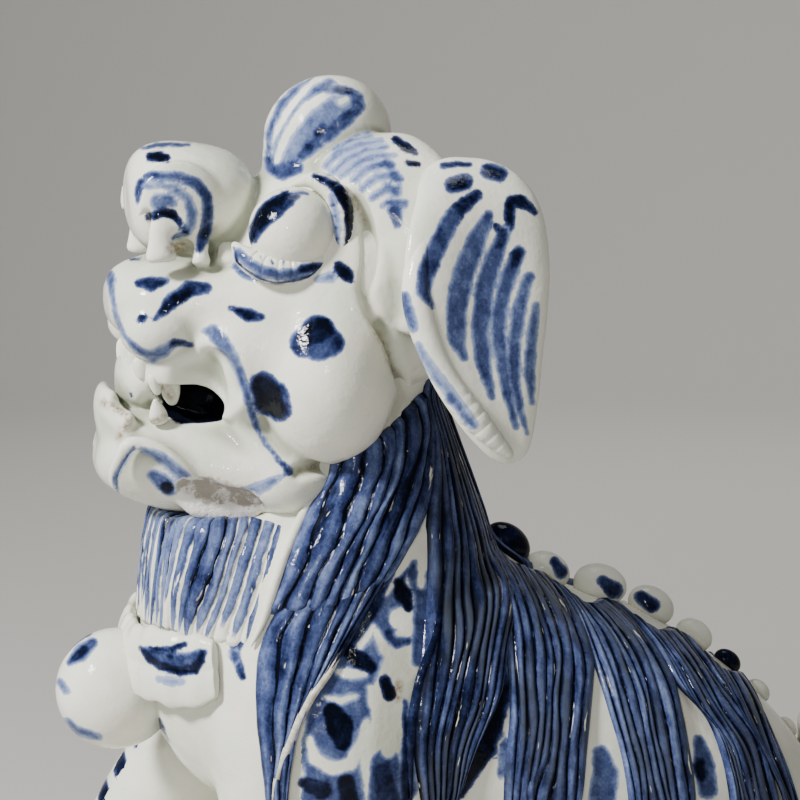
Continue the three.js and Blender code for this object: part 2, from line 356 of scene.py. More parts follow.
class Block:
    """Clay to which forms are added, and from which they are cut."""

    def __init__(self, low, high, step):
        self.low, self.step = np.array(low, float), step
        self.count = np.ceil((np.array(high) - self.low) / step).astype(int) + 1
        self.field = np.full(self.count, FAR, np.float32)

    def window(self, form, margin):
        first = np.clip(np.floor((form.low - margin - self.low) / self.step).astype(int), 0, self.count - 1)
        last = np.clip(np.ceil((form.high + margin - self.low) / self.step).astype(int) + 1, 1, self.count)
        span = tuple(slice(a, max(a + 1, b)) for a, b in zip(first, last))
        axes = [self.low[k] + self.step * np.arange(span[k].start, span[k].stop) for k in range(3)]
        return span, np.stack(np.meshgrid(*axes, indexing="ij"), axis=-1).astype(np.float32)

    def add(self, form, blend=2.0):
        span, grid = self.window(form, blend + 3 * self.step)
        self.field[span] = soft_min(self.field[span], form.distance(grid), blend)

    def cut(self, form, blend=1.0):
        span, grid = self.window(form, blend + 3 * self.step)
        self.field[span] = -soft_min(-self.field[span], form.distance(grid), blend)

    def smooth(self, rounds):
        """Evens out sharp creases, as a wet thumb does."""
        for _ in range(rounds):
            inner = self.field[1:-1, 1:-1, 1:-1]
            around = self.field[2:, 1:-1, 1:-1] + self.field[:-2, 1:-1, 1:-1]
            around += self.field[1:-1, 2:, 1:-1] + self.field[1:-1, :-2, 1:-1]
            around += self.field[1:-1, 1:-1, 2:] + self.field[1:-1, 1:-1, :-2]
            self.field[1:-1, 1:-1, 1:-1] = 0.4 * inner + 0.1 * around

    def waver(self, amount, wave):
        """A slow unevenness all over, as hands leave it."""
        axes = [(self.low[k] + self.step * np.arange(self.count[k])) / wave for k in range(3)]
        x, y, z = np.meshgrid(*axes, indexing="ij", sparse=True)
        x = np.abs(x)
        swell = np.sin(x + 1.3 * np.sin(y)) * np.cos(1.1 * z + 0.7 * x)
        swell = swell + 0.6 * np.sin(1.7 * y + 0.9 * z) * np.cos(2 * x)
        self.field += (amount * swell).astype(np.float32)


test_block = Block([-4, -4, -4], [4, 4, 4], 2)
print("a small block holds", test_block.field.size, "numbers")

# %% [markdown]
# To lay hair on the body or to find a crease, the clay has to be felt. A ray cast would do for one point
# at a time, and the block answers for all at once. The skin is drawn where the distance is zero, with one
# vertex in each cell that it crosses.

# %% Feeling the clay, and its skin
class Clay(Block):
    """A block that can be felt, and that has a skin."""

    def hollows(self, points, rounds, depth):
        """0 on an open surface and up to 1 in a crease, found by smoothing a copy."""
        sharp = self.field.copy()
        self.smooth(rounds)
        value = self.read(points)[0]
        self.field = sharp
        return np.clip(-value / depth, 0, 1)

    def read(self, points):
        """The distance at any points, and the direction in which it grows."""
        at = np.clip((points - self.low) / self.step, 0, self.count - 1.001)
        i = np.floor(at).astype(int)
        f = at - i
        corner = {}
        for dx in (0, 1):
            for dy in (0, 1):
                for dz in (0, 1):
                    corner[dx, dy, dz] = self.field[i[..., 0] + dx, i[..., 1] + dy, i[..., 2] + dz]
        fx, fy, fz = f[..., 0], f[..., 1], f[..., 2]

        def mix(a, b, s):
            return a + (b - a) * s

        rows = {(dx, dy): mix(corner[dx, dy, 0], corner[dx, dy, 1], fz) for dx in (0, 1) for dy in (0, 1)}
        value = mix(mix(rows[0, 0], rows[0, 1], fy), mix(rows[1, 0], rows[1, 1], fy), fx)
        gx = mix(rows[1, 0] - rows[0, 0], rows[1, 1] - rows[0, 1], fy)
        gy = mix(rows[0, 1] - rows[0, 0], rows[1, 1] - rows[1, 0], fx)
        rise = {(dx, dy): corner[dx, dy, 1] - corner[dx, dy, 0] for dx in (0, 1) for dy in (0, 1)}
        gz = mix(mix(rise[0, 0], rise[0, 1], fy), mix(rise[1, 0], rise[1, 1], fy), fx)
        return value, np.stack([gx, gy, gz], axis=-1) / self.step

    def settle(self, points, rounds=4):
        """Moves points onto the surface, and gives the outward directions there."""
        p = np.array(points, float)
        for _ in range(rounds):
            value, slope = self.read(p)
            p -= (value / np.maximum(np.sum(slope**2, axis=-1), 0.2))[..., None] * slope
        return p, unit(self.read(p)[1])

    def skin(self):
        """The surface as vertices and quads: one vertex in each cell that the surface crosses."""
        f = self.field
        inside = f < 0
        cells = np.array(f.shape) - 1
        total = np.zeros(cells, np.int8)
        for dx in (0, 1):
            for dy in (0, 1):
                for dz in (0, 1):
                    total += inside[dx:cells[0] + dx, dy:cells[1] + dy, dz:cells[2] + dz]
        crossed = np.argwhere((total > 0) & (total < 8))
        middle = np.zeros((len(crossed), 3))
        hits = np.zeros(len(crossed))
        for axis in range(3):
            step = np.eye(3, dtype=int)[axis]
            others = [np.eye(3, dtype=int)[k] for k in range(3) if k != axis]
            for u in (0, 1):
                for v in (0, 1):
                    start = crossed + u * others[0] + v * others[1]
                    a = f[tuple(start.T)]
                    b = f[tuple((start + step).T)]
                    hit = (a < 0) != (b < 0)
                    share = np.where(hit, a / np.where(hit, a - b, 1), 0)
                    middle += hit[:, None] * (start + share[:, None] * step)
                    hits += hit
        vertices = self.low + self.step * middle / hits[:, None]
        index = np.full(cells, -1, np.int32)
        index[tuple(crossed.T)] = np.arange(len(crossed))
        quads = []
        for axis in range(3):
            u, v = [k for k in range(3) if k != axis]
            if axis == 1:
                u, v = v, u
            lower = [slice(1, -1)] * 3
            upper = [slice(1, -1)] * 3
            lower[axis], upper[axis] = slice(0, -1), slice(1, None)
            a, b = inside[tuple(lower)], inside[tuple(upper)]
            for leaving in (True, False):
                at = np.argwhere((a & ~b) if leaving else (~a & b))
                at = at + np.where(np.arange(3) == axis, 0, 1)
                eu, ev = np.eye(3, dtype=int)[u], np.eye(3, dtype=int)[v]
                ring = [at - eu - ev, at - ev, at, at - eu]
                quad = np.stack([index[tuple(c.T)] for c in ring], axis=-1)
                quads.append(quad if leaving else quad[:, ::-1])
        vertices = self.settle(vertices, 2)[0]
        return vertices, np.vstack(quads)


test_clay = Clay([-9, -9, -9], [9, 9, 9], 1)
test_clay.add(Ball([0, 0, 0], [6, 6, 6]))
print("the skin of a ball of 6 mm has", len(test_clay.skin()[0]), "points")

# %% [markdown]
# The lion sits on its haunches, its left foreleg upright and the right one reaching forward. Each limb
# could be sculpted. It is one loft, because a few stations are easy to compare with a photo.

# %% The trunk and the limbs
torso = Loft(
    [
        [0, -28, 212], [0, -29, 172], [0, -24, 146], [0, 2, 127],
        [0, 30, 109], [0, 49, 86], [0, 54, 52], [0, 54, 12],
    ],
    [27, 34, 41, 45, 46, 46, 43, 38],
    [27, 35, 40, 37.5, 43.5, 46, 39, 33],
    [
        [0, 1, 0], [0, 1, 0.1], [0, 0.9, 0.5], [0, 0.6, 0.8],
        [0, 0.62, 0.78], [0, 0.8, 0.6], [0, 1, 0.1], [0, 1, 0],
    ],
    7,
)
chest = Ball([0, -42, 141], [32, 25, 27])
shoulder = Ball([26, -29, 130], [20, 27, 33], [0.15, 0, 0])
haunch = Ball([32, 53, 66], [20, 36, 46], [0.25, 0, 0])
left_foreleg = Loft(
    [[27, -37, 126], [28, -42, 92], [28, -42, 60], [28, -44, 34], [28, -48, 20]],
    [15, 13, 11, 11, 13], [18, 14.5, 11.5, 11.5, 13], [0, -1, 0], 6,
)
right_foreleg = Loft(
    [[-25, -40, 132], [-24, -56, 112], [-24, -67, 96], [-24, -77, 72], [-25, -81, 46], [-26, -84, 20]],
    [15, 13, 12, 10.5, 10.5, 13], [16, 13, 12, 10.5, 10.5, 13], [0, -1, -0.3], 6,
)
hind_leg = Loft([[40, 50, 30], [41, 34, 26], [41, 12, 25]], [13, 12, 12], [16, 11, 9], [0, 0, 1], 4)
tail = Loft(
    [[0, 87, 20], [0, 98, 42], [0, 99.5, 70], [0, 96, 98], [0, 88, 122]],
    [13, 20, 20, 13, 6], [8, 9, 9, 7, 4], [0, 1, 0.1],
)
print("the trunk is", round(torso.length), "mm long, and the tail", round(tail.length))

# %% [markdown]
# A paw is a flattened ball with toes pressed in by a stick. Four small balls would leave deep gaps, so
# the width of one ball swells and shrinks round its front.

# %% Paws
TOE_SWELL = 0.09
TOE_SIDE = 0.55 * np.pi


class Paw(Ball):
    """A paw whose front edge swells into four toes."""

    def distance(self, grid):
        q = (grid - self.at) / self.half
        turn = np.arctan2(q[..., 0], -q[..., 1])
        swell = np.where(np.abs(turn) > TOE_SIDE, 1, 1 - TOE_SWELL * np.cos(8 * turn))
        q = q / np.stack([swell, swell, np.ones_like(swell)], axis=-1)
        ring = np.linalg.norm(q, axis=-1)
        return ring * (ring - 1) / np.maximum(np.linalg.norm(q / self.half, axis=-1), 1e-6)


left_paw = Paw([28, -53, 25], [14, 19, 9.5])
right_paw = Paw([-26, -87, 25], [14, 18, 9.5])
hind_paw = Paw([41, 7, 25], [13, 18, 9])
print("paws:", len([left_paw, right_paw, *both(hind_paw)]))

# %% [markdown]
# Now the forms are joined, each with the width of its fillet in mm. The neck is hollowed beside the jaw
# and smoothed first. Smoothing at the end would be simpler, but it would wear away the toes.

# %% Joining the body
BODY_STEP = 1.5
body = Clay([-62, -112, 10], [62, 114, 258], BODY_STEP)
beside_jaw = Ball([35, -51, 191], [17, 25, 19])
inside_mouth = Ball([0, -58, 204], [27, 22, 12.5])
head_core = Ball([0, -21.5, 226], [32, 30.5, 27])
body.add(torso, 1)
body.add(chest, 8)
for form in both(beside_jaw):
    body.cut(form, 4)
body.cut(inside_mouth, 2)
body.smooth(14)
body.add(head_core, 6)
for form in (*both(shoulder), *both(haunch)):
    body.add(form, 5)
for form in (left_foreleg, right_foreleg, *both(hind_leg)):
    body.add(form, 4)
for form in (left_paw, right_paw, *both(hind_paw)):
    body.add(form, 2)
body.add(tail, 3)
body.waver(0.3, 9)
print("the body's block holds", body.field.size, "numbers")

# %% [markdown]
# The head has a broad muzzle, full cheeks and a heavy jaw. It is a block of its own with half the body's
# step. One block for both would need eight times the numbers for no gain on the back.

# %% The skull, the muzzle and the cheeks
HEAD_STEP = 0.75
head = Clay([-45, -96, 166], [45, 22, 274], HEAD_STEP)
skull = Ball([0, -22, 226], [33, 31, 28])
muzzle = Loft(
    [[0, -26, 224], [0, -46, 223], [0, -62, 222.6], [0, -74, 222.6]],
    [30, 25, 21.5, 19.5], [18, 12, 10.4, 9.8], [0, 0, 1], 3.2,
)
lower_jaw = Loft(
    [[0, -28, 188.5], [0, -44, 188.2], [0, -57, 189], [0, -67, 191], [0, -76, 193.5]],
    [27, 27.5, 24, 20.5, 17], [11, 12, 12.4, 12, 11], [0, 0, 1], 4,
)
cheek = Ball([20, -31, 207], [18.8, 14.5, 18.5])
mouth_corner = Ball([19.5, -49, 211], [8.5, 8.5, 13], [-0.5, 0, 0])
whisker_pad = Ball([13.5, -65, 216.8], [7.4, 7.5, 6])
upper_lip = Ball([9.5, -58.5, 209], [9.4, 11, 7.6], [0.1, 0, 0])
jowl = Ball([18, -39, 186.4], [10.6, 10.6, 8.2])
head.add(skull, 1)
head.add(muzzle, 6)
for part, fillet in ((cheek, 8), (mouth_corner, 6), (whisker_pad, 2.5), (upper_lip, 1.5)):
    for form in both(part):
        head.add(form, fillet)
head.add(lower_jaw, 3)
for form in both(jowl):
    head.add(form, 0.6)
print("the head's block holds", head.field.size, "numbers")

# %% [markdown]
# The mouth was cut open with a knife, and a hollow pressed above it. A boolean would leave sharp edges.
# Forms taken away from the clay leave the soft round edge that thick glaze has.

# %% The open mouth
mouth_cup = Ball(seen(200, 385, 25), [8.5, 9.4, 8.2], [-0.42, 0, 0])
mouth_slit = Loft(
    [seen(150, 386, 13), seen(174, 396, 14), seen(204, 405, 14.5), seen(224, 413, 14)],
    [9, 10, 10, 6], [1.2, 2.8, 3.8, 2.4], [0, 0.3, 1], 3,
)
for form in both(mouth_cup):
    head.cut(form, 1.2)
for form in both(mouth_slit):
    head.cut(form, 0.7)
mouth_floor = Ball([0, -56, 202.5], [14, 12, 5], [-0.3, 0, 0])
# A plug in the middle stops the mouth being seen through, and is painted near-black as shade below.
mouth_plug = Ball([0, -52, 201], [5, 15, 9])
front_gap = Ball([0, -72, 205.6], [19, 3.6, 4.4], [-0.1, 0, 0])
gum = Ball([0, -68, 206], [13, 4.2, 7])
head.cut(mouth_floor, 1)
head.add(mouth_plug, 2)
head.cut(front_gap, 1)
head.add(gum, 1)
print("the slit of the mouth is", round(mouth_slit.length), "mm long")

# %% [markdown]
# The lower lip curls up in front of a groove, and a thick fold runs from the nose down the cheek. They
# could be sculpted with a brush. As lofts through places in the picture, they lie where the real ones do.

# %% Lips and folds of the face
front_lip = Loft(
    [[15, -70.6, 197.4], [10, -73.2, 199], [0, -74.8, 199.4], [-10, -73.2, 199], [-15, -70.6, 197.4]],
    [4, 5, 5.2, 5, 4], [1.8, 2, 2, 2, 1.8], [0, -1, 0], 6,
)
head.add(front_lip, 2)
channel = Loft(
    [seen(119, 393, 9), seen(121, 404, 14), seen(126, 418, 18.6), seen(124, 433, 20.8)],
    [2, 2, 1.8, 1.2], [2, 2, 1.8, 1.2], [1, 0, 0], 3,
)
chin_fold = Loft(
    [
        seen(117, 492, 16), seen(113, 477, 17), seen(119, 460, 18.5), seen(129, 445, 19.5),
        seen(143, 444, 20), seen(160, 450, 21), seen(176, 462, 22), seen(190, 474, 22),
        seen(204, 488, 20.5),
    ],
    [1, 1.2, 1.4, 1.5, 1.5, 1.5, 1.4, 1.2, 1], [1, 1.3, 1.5, 1.6, 1.6, 1.6, 1.5, 1.3, 1], [1, 0, 0], 4,
)
lip_fold = Loft(
    [
        seen(226, 350, 21), seen(233, 368, 21.5), seen(239, 386, 21.5), seen(242, 405, 22),
        seen(246, 425, 21), seen(257, 442, 22), seen(271, 459, 24.5),
    ],
    [1.4, 2.2, 2.4, 2.6, 2.6, 2.4, 1.6], [1.6, 2.2, 2.6, 2.6, 2.6, 2.4, 1.6], [1, 0, 0], 3,
)
fold_root = Ball(seen(252, 421, 17.5), [3.5, 5, 4.4])
chin_side = Ball(seen(168, 500, 25), [3.4, 13, 5], [-0.12, 0, 0])
for form in both(channel):
    head.cut(form, 1.5)
for form in both(chin_fold):
    head.add(form, 1.6)
for form in (*both(lip_fold), *both(fold_root)):
    head.add(form, 2.5)
for form in both(chin_side):
    head.cut(form, 1.2)
print("the fold beside the mouth is", round(lip_fold.length), "mm long")

# %% [markdown]
# The nose is a box with scrolls on its sides, on small legs of clay. The gaps between the legs could be
# left open from the start. They are cut first and the legs set in after, as the potter did.

# %% The nose
nose = Loft(
    [[0, -43.5, 240], [0, -52, 242.6], [0, -61, 243.6], [0, -69.2, 243.2]],
    [15, 17, 17.6, 15.6], [10, 12, 12.3, 11.2], [0, 0, 1], 3.4,
)
head.add(nose, 2)
scroll = Ball([16, -60.3, 243], [3, 8.6, 8.8])
nostril = Ball(seen(173, 216, 21.5), [3.2, 4, 2.6], [-0.5, 0, 0])
for form in both(scroll):
    head.add(form, 1.2)
for form in both(nostril):
    head.cut(form, 0.8)
leg_gaps = [
    Ball(seen(146, 231, 19), [6, 1.4, 4.4], [-0.2, 0, 0]),
    Ball(seen(184, 249, 19.5), [6, 3, 3.2]),
    Ball(seen(219, 246, 20), [6, 4.6, 5.4]),
]
for gap in leg_gaps:
    for form in both(gap):
        head.cut(form, 0.9)
legs = [
    Loft(
        [seen(163, 222, 17), seen(161, 240, 17.6), seen(162, 263, 18)],
        [2.8, 2.6, 3.6], [2, 1.8, 2.6], [1, 0, 0], 5,
    ),
    Loft(
        [seen(203, 236, 16), seen(201, 250, 16.6), seen(201, 266, 17.4)],
        [1.6, 1.5, 2.4], [1.8, 1.8, 2.4], [1, 0, 0], 5,
    ),
    Loft(
        [seen(227, 244, 13), seen(228, 256, 14.6), seen(229, 266, 16)],
        [2, 2.2, 2.8], [1.8, 2, 2.4], [1, 0, 0], 5,
    ),
]
for leg in legs:
    for form in both(leg):
        head.add(form, 1)
print("the nose stands on", 2 * len(legs), "legs")

# %% [markdown]
# Heavy brows run from the nose to beside the cheeks, and a bun of hair sits on top. The brow could be
# carved from the skull. It was laid on as a flat roll, and so it keeps a crease along its edge.

# %% The brows and the topknot
brow = Loft(
    [[4, -21, 252], [15, -21, 251], [25, -16, 246], [30, -13, 238], [32.5, -13.5, 228], [33.5, -16.5, 217]],
    [10, 11.5, 11.5, 10.5, 8, 5.4], [7, 6, 6, 5.2, 4.6, 3.6], [0.7, -0.2, 0.7], 3,
)
for form in both(brow):
    head.add(form, 1)
topknot = Ball([0, -26, 256.5], [14, 13.8, 12.8], [0.35, 0, 0])
topknot_foot = Ball([0, -28, 249.5], [13.4, 12, 10])
head.add(topknot, 1)
head.add(topknot_foot, 2)
print("the topknot's top is at z =", round(topknot.at[2] + topknot.half[2]))

# %% [markdown]
# Lines were scored round the cheek, and the edge of the jaw is chipped on the lion's left. A bump could
# show the lines, but they are deep enough to cast a shade, so they are cut. The chip is two shallow cuts.

# %% Scored lines, and the chip in the jaw
def onto(clay, across, down):
    """Where the line of sight through a place in the picture first meets a clay."""
    ray = unit(line_of_sight(across, down))
    reach = np.linspace(320, 540, 441)
    points = eye_point + reach[:, None] * ray
    value = clay.read(points)[0]
    hit = np.argmax(value < 0) if np.any(value < 0) else np.argmin(value)
    return points[hit]


SCORES = [
    ([(352, 190), (362, 208), (369, 235), (370, 265), (366, 292), (376, 320), (388, 336)], 1.5),
    ([(376, 320), (391, 342), (399, 370), (399, 400), (391, 427), (377, 446), (352, 460), (330, 468)], 1.7),
    ([(292, 474), (304, 470), (318, 467), (330, 467)], 1.6),
]
for places, width in SCORES:
    line = Loft([onto(head, *place) for place in places], [width] * 4, [width] * 4, [1, 0, 0], 4)
    for form in both(line):
        head.cut(form, 1.2)
CHIPS = [((203, 494), [4.2, 6.6, 3.2], -0.12), ((233, 500), [4, 6.6, 2.9], -0.2)]
chips = [Ball(onto(head, *place) + 1.8 * back, half, [turn, 0, 0]) for place, half, turn in CHIPS]
for form in chips:
    head.cut(form, 0.3)
chip_rim = Loft(
    [
        seen(178, 499, 16.4), seen(196, 507, 16.6), seen(217, 511.5, 17), seen(240, 512, 18),
        seen(262, 508, 19.6),
    ],
    [1.2, 2.2, 2.6, 2.4, 1.6], [1.4, 2.4, 2.6, 2.4, 1.8], [1, 0, 0], 4,
)
head.add(chip_rim, 0.8)
head.waver(0.13, 5)
head_points, head_faces = head.skin()
print("the head has", len(head_points), "points")

# %% [markdown]
# Eyes, lids, teeth, ears, bell and band were made apart and pressed into the clay. They could be added to
# the blocks, but as meshes they have points as close as their detail asks for. One function makes every
# piece.

# %% Meshes from numbers
made = {}


def outward(points, quads):
    """The faces turned over where the form they close would have less than no volume."""
    first_halves = [quad[:3] for quad in quads]
    second_halves = [[quad[0], *quad[2:]] for quad in quads if len(quad) == 4]
    corners = np.array(first_halves + second_halves)
    a, b, c = (points[corners[:, k]] - points.mean(axis=0) for k in range(3))
    return quads if np.sum(a * np.cross(b, c)) > 0 else [quad[::-1] for quad in quads]


def make_piece(name, parts):
    """One piece from several closed parts, each given by its points in mm and its faces."""
    vertices, faces = [], []
    for points, quads in parts:
        start = len(vertices)
        quads = outward(np.asarray(points), quads)
        vertices.extend(np.asarray(points).tolist())
        faces.extend([[start + k for k in quad] for quad in np.asarray(quads, dtype=object).tolist()])
    mesh = bpy.data.meshes.new(name)
    mesh.from_pydata((np.asarray(vertices) * MM).tolist(), [], faces)
    mesh.update()
    mesh.polygons.foreach_set("use_smooth", [True] * len(mesh.polygons))
    piece = bpy.data.objects.new(name, mesh)
    bpy.context.collection.objects.link(piece)
    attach(piece, "root")
    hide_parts("lion")
    made[name] = piece
    print(name, "has", sum(len(f) - 2 for f in faces), "triangles")


def flipped(part):
    """The same points and faces on the lion's right side."""
    points, quads = part
    return np.asarray(points) * [-1, 1, 1], [quad[::-1] for quad in quads]


def pair(part):
    return [part, flipped(part)]


print("pieces made so far:", len(made))

# %% [markdown]
# The eyes are large balls with a lid below and another beside them. A lid could be cut from a larger
# ball. It is a notched roll of clay, as on the real lion, and its line is given as it shows in the
# picture.

# %% Eyes and lids
EYE_CENTRE = np.array([23.5, -38.2, 237.6])
EYE_RADIUS = 9
eye_part = Ball(EYE_CENTRE, [EYE_RADIUS] * 3).mesh(96, 64)


def by_the_eye(places):
    """Points that show at places in the picture, each so many mm in front of the middle of the eye."""
    depth = (eye_point - EYE_CENTRE) @ back
    return [eye_point + (depth - near) * line_of_sight(across, down) for across, down, near in places]


lower_lid = Loft(
    by_the_eye([
        (233, 243, 1), (243, 255, 2.4), (258, 264.5, 3.2), (276, 270, 3.8), (297, 269, 3.6), (316, 262, 3),
        (333, 256, 2),
    ]),
    [1.4, 2.5, 2.9, 2.9, 2.7, 2.3, 1.5], [1.5, 2.4, 3, 3.2, 3, 2.4, 1.6], back.tolist(), 3,
)
upper_lid = Loft(
    by_the_eye([
        (291, 185, -1), (312, 180, 0.5), (330, 188, 1.6), (341, 206, 2.2), (343, 230, 2.2), (342, 249, 2),
        (342, 263, 1.6),
    ]),
    [1, 1.8, 2.3, 2.4, 2.2, 2, 1.6], [1.6, 2.4, 2.9, 3, 2.8, 2.4, 1.8], back.tolist(), 3,
)


def notched(count, depth, first, last):
    """Small dents on the side of a lid that faces the eye, cut with a knife before firing."""
    def relief(turn, t):
        beat = np.abs((t * count + 0.1 * np.sin(9 * t)) % 1 - 0.5)
        inner = np.clip((t - first) * 20, 0, 1) * np.clip((last - t) * 20, 0, 1)
        return -depth * np.exp(-((beat / 0.08) ** 2)) * np.clip(np.sin(turn + 0.8), 0, 1) * inner
    return relief


lid_parts = [
    lower_lid.mesh(36, 160, notched(9, 0.35, 0.15, 0.75)),
    upper_lid.mesh(36, 160, notched(14, 0.3, 0.1, 0.9)),
]
print("the lower lid is", round(lower_lid.length), "mm long, and the upper one", round(upper_lid.length))

# %% [markdown]
# A few blunt teeth were rolled and pressed in by hand. One tooth could be made and copied, but the row
# would look like a comb, so each has its own root, tip and width.

# %% Teeth
def tooth(root, tip, width, end=0.6):
    """A tooth pressed by hand, which narrows to a share of its width at the tip."""
    middle = [(a + b) / 2 for a, b in zip(root, tip)]
    sizes = [width, width * (0.6 + 0.5 * end), width * end]
    return Loft([root, middle, tip], sizes, [0.8 * size for size in sizes], [1, 0.1, 0], 3).mesh(24, 18)


teeth = [
    tooth(seen(141, 356, 13), seen(143, 380, 14), 2.1),
    tooth(seen(153, 373, 15.4), seen(158, 395, 15.2), 1.5),
    tooth(seen(168, 374, 14), seen(173, 405, 13), 2.3),
    tooth(seen(160, 424, 15.6), seen(155, 399, 16.4), 2.3, 0.3),
    tooth([4.5, -69.4, 214], [4.6, -69.6, 206.2], 2.1),
    tooth([8.6, -68.6, 214], [8.8, -68.8, 206.6], 2),
]
print("teeth on each side:", len(teeth))

# %% [markdown]
# The ears hang like leaves, with a pinched roll along the front edge. A bent plane would be too thin and
# even, so the ear is a wide, flat loft, and the creases are waves in its rings.

# %% Ears
ear_leaf = Loft(
    [[26, -2.6, 252], [36, -2.4, 242], [42, -4.6, 227], [44.5, -4.2, 216], [46, -1.9, 205], [47, 1.8, 192.5]],
    [16.6, 15.8, 15.6, 14, 11.6, 9], [5, 4.4, 3.6, 3.2, 3, 3], [1, 0.12, 0.2], 2.5,
)
ear_rim = Loft(
    [
        [33, -9.5, 248], [40, -15, 237], [43.5, -17.6, 227], [45.5, -15.4, 216.5],
        [47, -10.8, 207], [48.2, -5.4, 200], [48.6, 0.5, 194],
    ],
    [2.2, 2.6, 2.8, 2.9, 2.9, 2.9, 2.5], [2.4, 2.6, 2.8, 2.8, 2.8, 2.8, 2.4], [1, 0.12, 0.2], 3,
)


def dished(turn, t):
    """The face of the ear is hollowed a little, and waves where it was pinched."""
    face = np.clip(np.cos(turn), 0, 1) ** 3
    return -1.5 * face + 0.25 * np.sin(9 * t + 2 * turn)


def pinched(turn, t):
    """Creases across the rim near its tip."""
    beat = np.abs((t * 26) % 1 - 0.5)
    return -0.3 * np.exp(-((beat / 0.14) ** 2)) * np.clip((t - 0.7) / 0.1, 0, 1) + 0.15 * np.sin(17 * t)


ear_parts = [ear_leaf.mesh(120, 120, dished), ear_rim.mesh(28, 150, pinched)]
print("an ear is", round(ear_leaf.length), "mm long")

# %% [markdown]
# A round bell hangs at the breast from a band with folded edges. Cloth could be simulated, but the band
# is stiff clay, so it is a flat loft with waves in its rings.

# %% The bell and its tab
BELL_RADIUS = 13
bell = Ball([0, -73.3, 138.2], [BELL_RADIUS] * 3)
tab_path = [
    [0, -70.5, 147], [8, -70.2, 147], [16.5, -67.2, 147.4], [24, -61.8, 148], [28.3, -58.2, 148.8],
    [30.4, -56, 149.4],
]
tab = Loft(tab_path, [5.6, 6.4, 6.8, 6.8, 6.6, 5.8], [2.2, 2.4, 2.4, 2.4, 2.2, 1.9], [0.55, -1, 0.15], 12)


def folded(turn, t):
    """The band is folded over at its edges, with a dent along the middle, and was cut by hand."""
    edge = np.abs(np.sin(turn)) ** 8
    dent = (1 - np.abs(np.sin(turn))) ** 2
    return 0.9 * edge - 0.8 * dent + 0.3 * np.sin(13 * t + turn) + 0.25 * np.sin(31 * t)


bell_part = bell.mesh(96, 64)
tab_part = tab.mesh(72, 90, folded)
print("the band reaches", round(tab.length), "mm round the breast on each side")

# %% [markdown]
# The beard lies on a swelling of the breast, added now. Hair is laid between two edges. They could be
# drawn in mm alone, but most show in the picture, so an edge point with two numbers is a place there,
# cast onto the body.

# %% The beard's swelling, and edges on the body
beard_core = Loft(
    [[0, -43, 189], [0, -50, 178], [0, -54, 167], [0, -55, 156], [0, -53, 145]],
    [17, 21, 25.5, 25, 18], [12, 12, 12, 11, 9], [0, -1, 0], 4,
)
body.add(beard_core, 3)
under_jaw = Loft([[0, -42, 193.5], [0, -84, 193.5]], [60, 60], [16.5, 16.5], [0, 0, 1], 8)
body.cut(under_jaw, 1)


def edge_line(points):
    placed = [np.array(p, float) if len(p) == 3 else onto(body, *p) for p in points]
    return smooth_line(placed)


print("a place on the neck:", [round(float(v)) for v in onto(body, 429, 430)])

# %% [markdown]
# The mane is made of flat strands, combed into lanes while wet, with ragged ends. Hair particles would
# look like fur, and they can't be exported. So a strand is a sheet of points spread between two edges and
# settled on the body, with more points beside each groove. Every point keeps its lane and its place along
# it for the glaze.

# %% A strand of the mane
rng = np.random.default_rng(7)
LANE_COLUMNS = np.array([0, 0.06, 0.15, 0.36, 0.64, 0.85, 0.94])
GROOVE_WIDTH = 0.1
SETTLE_ROUNDS = 12


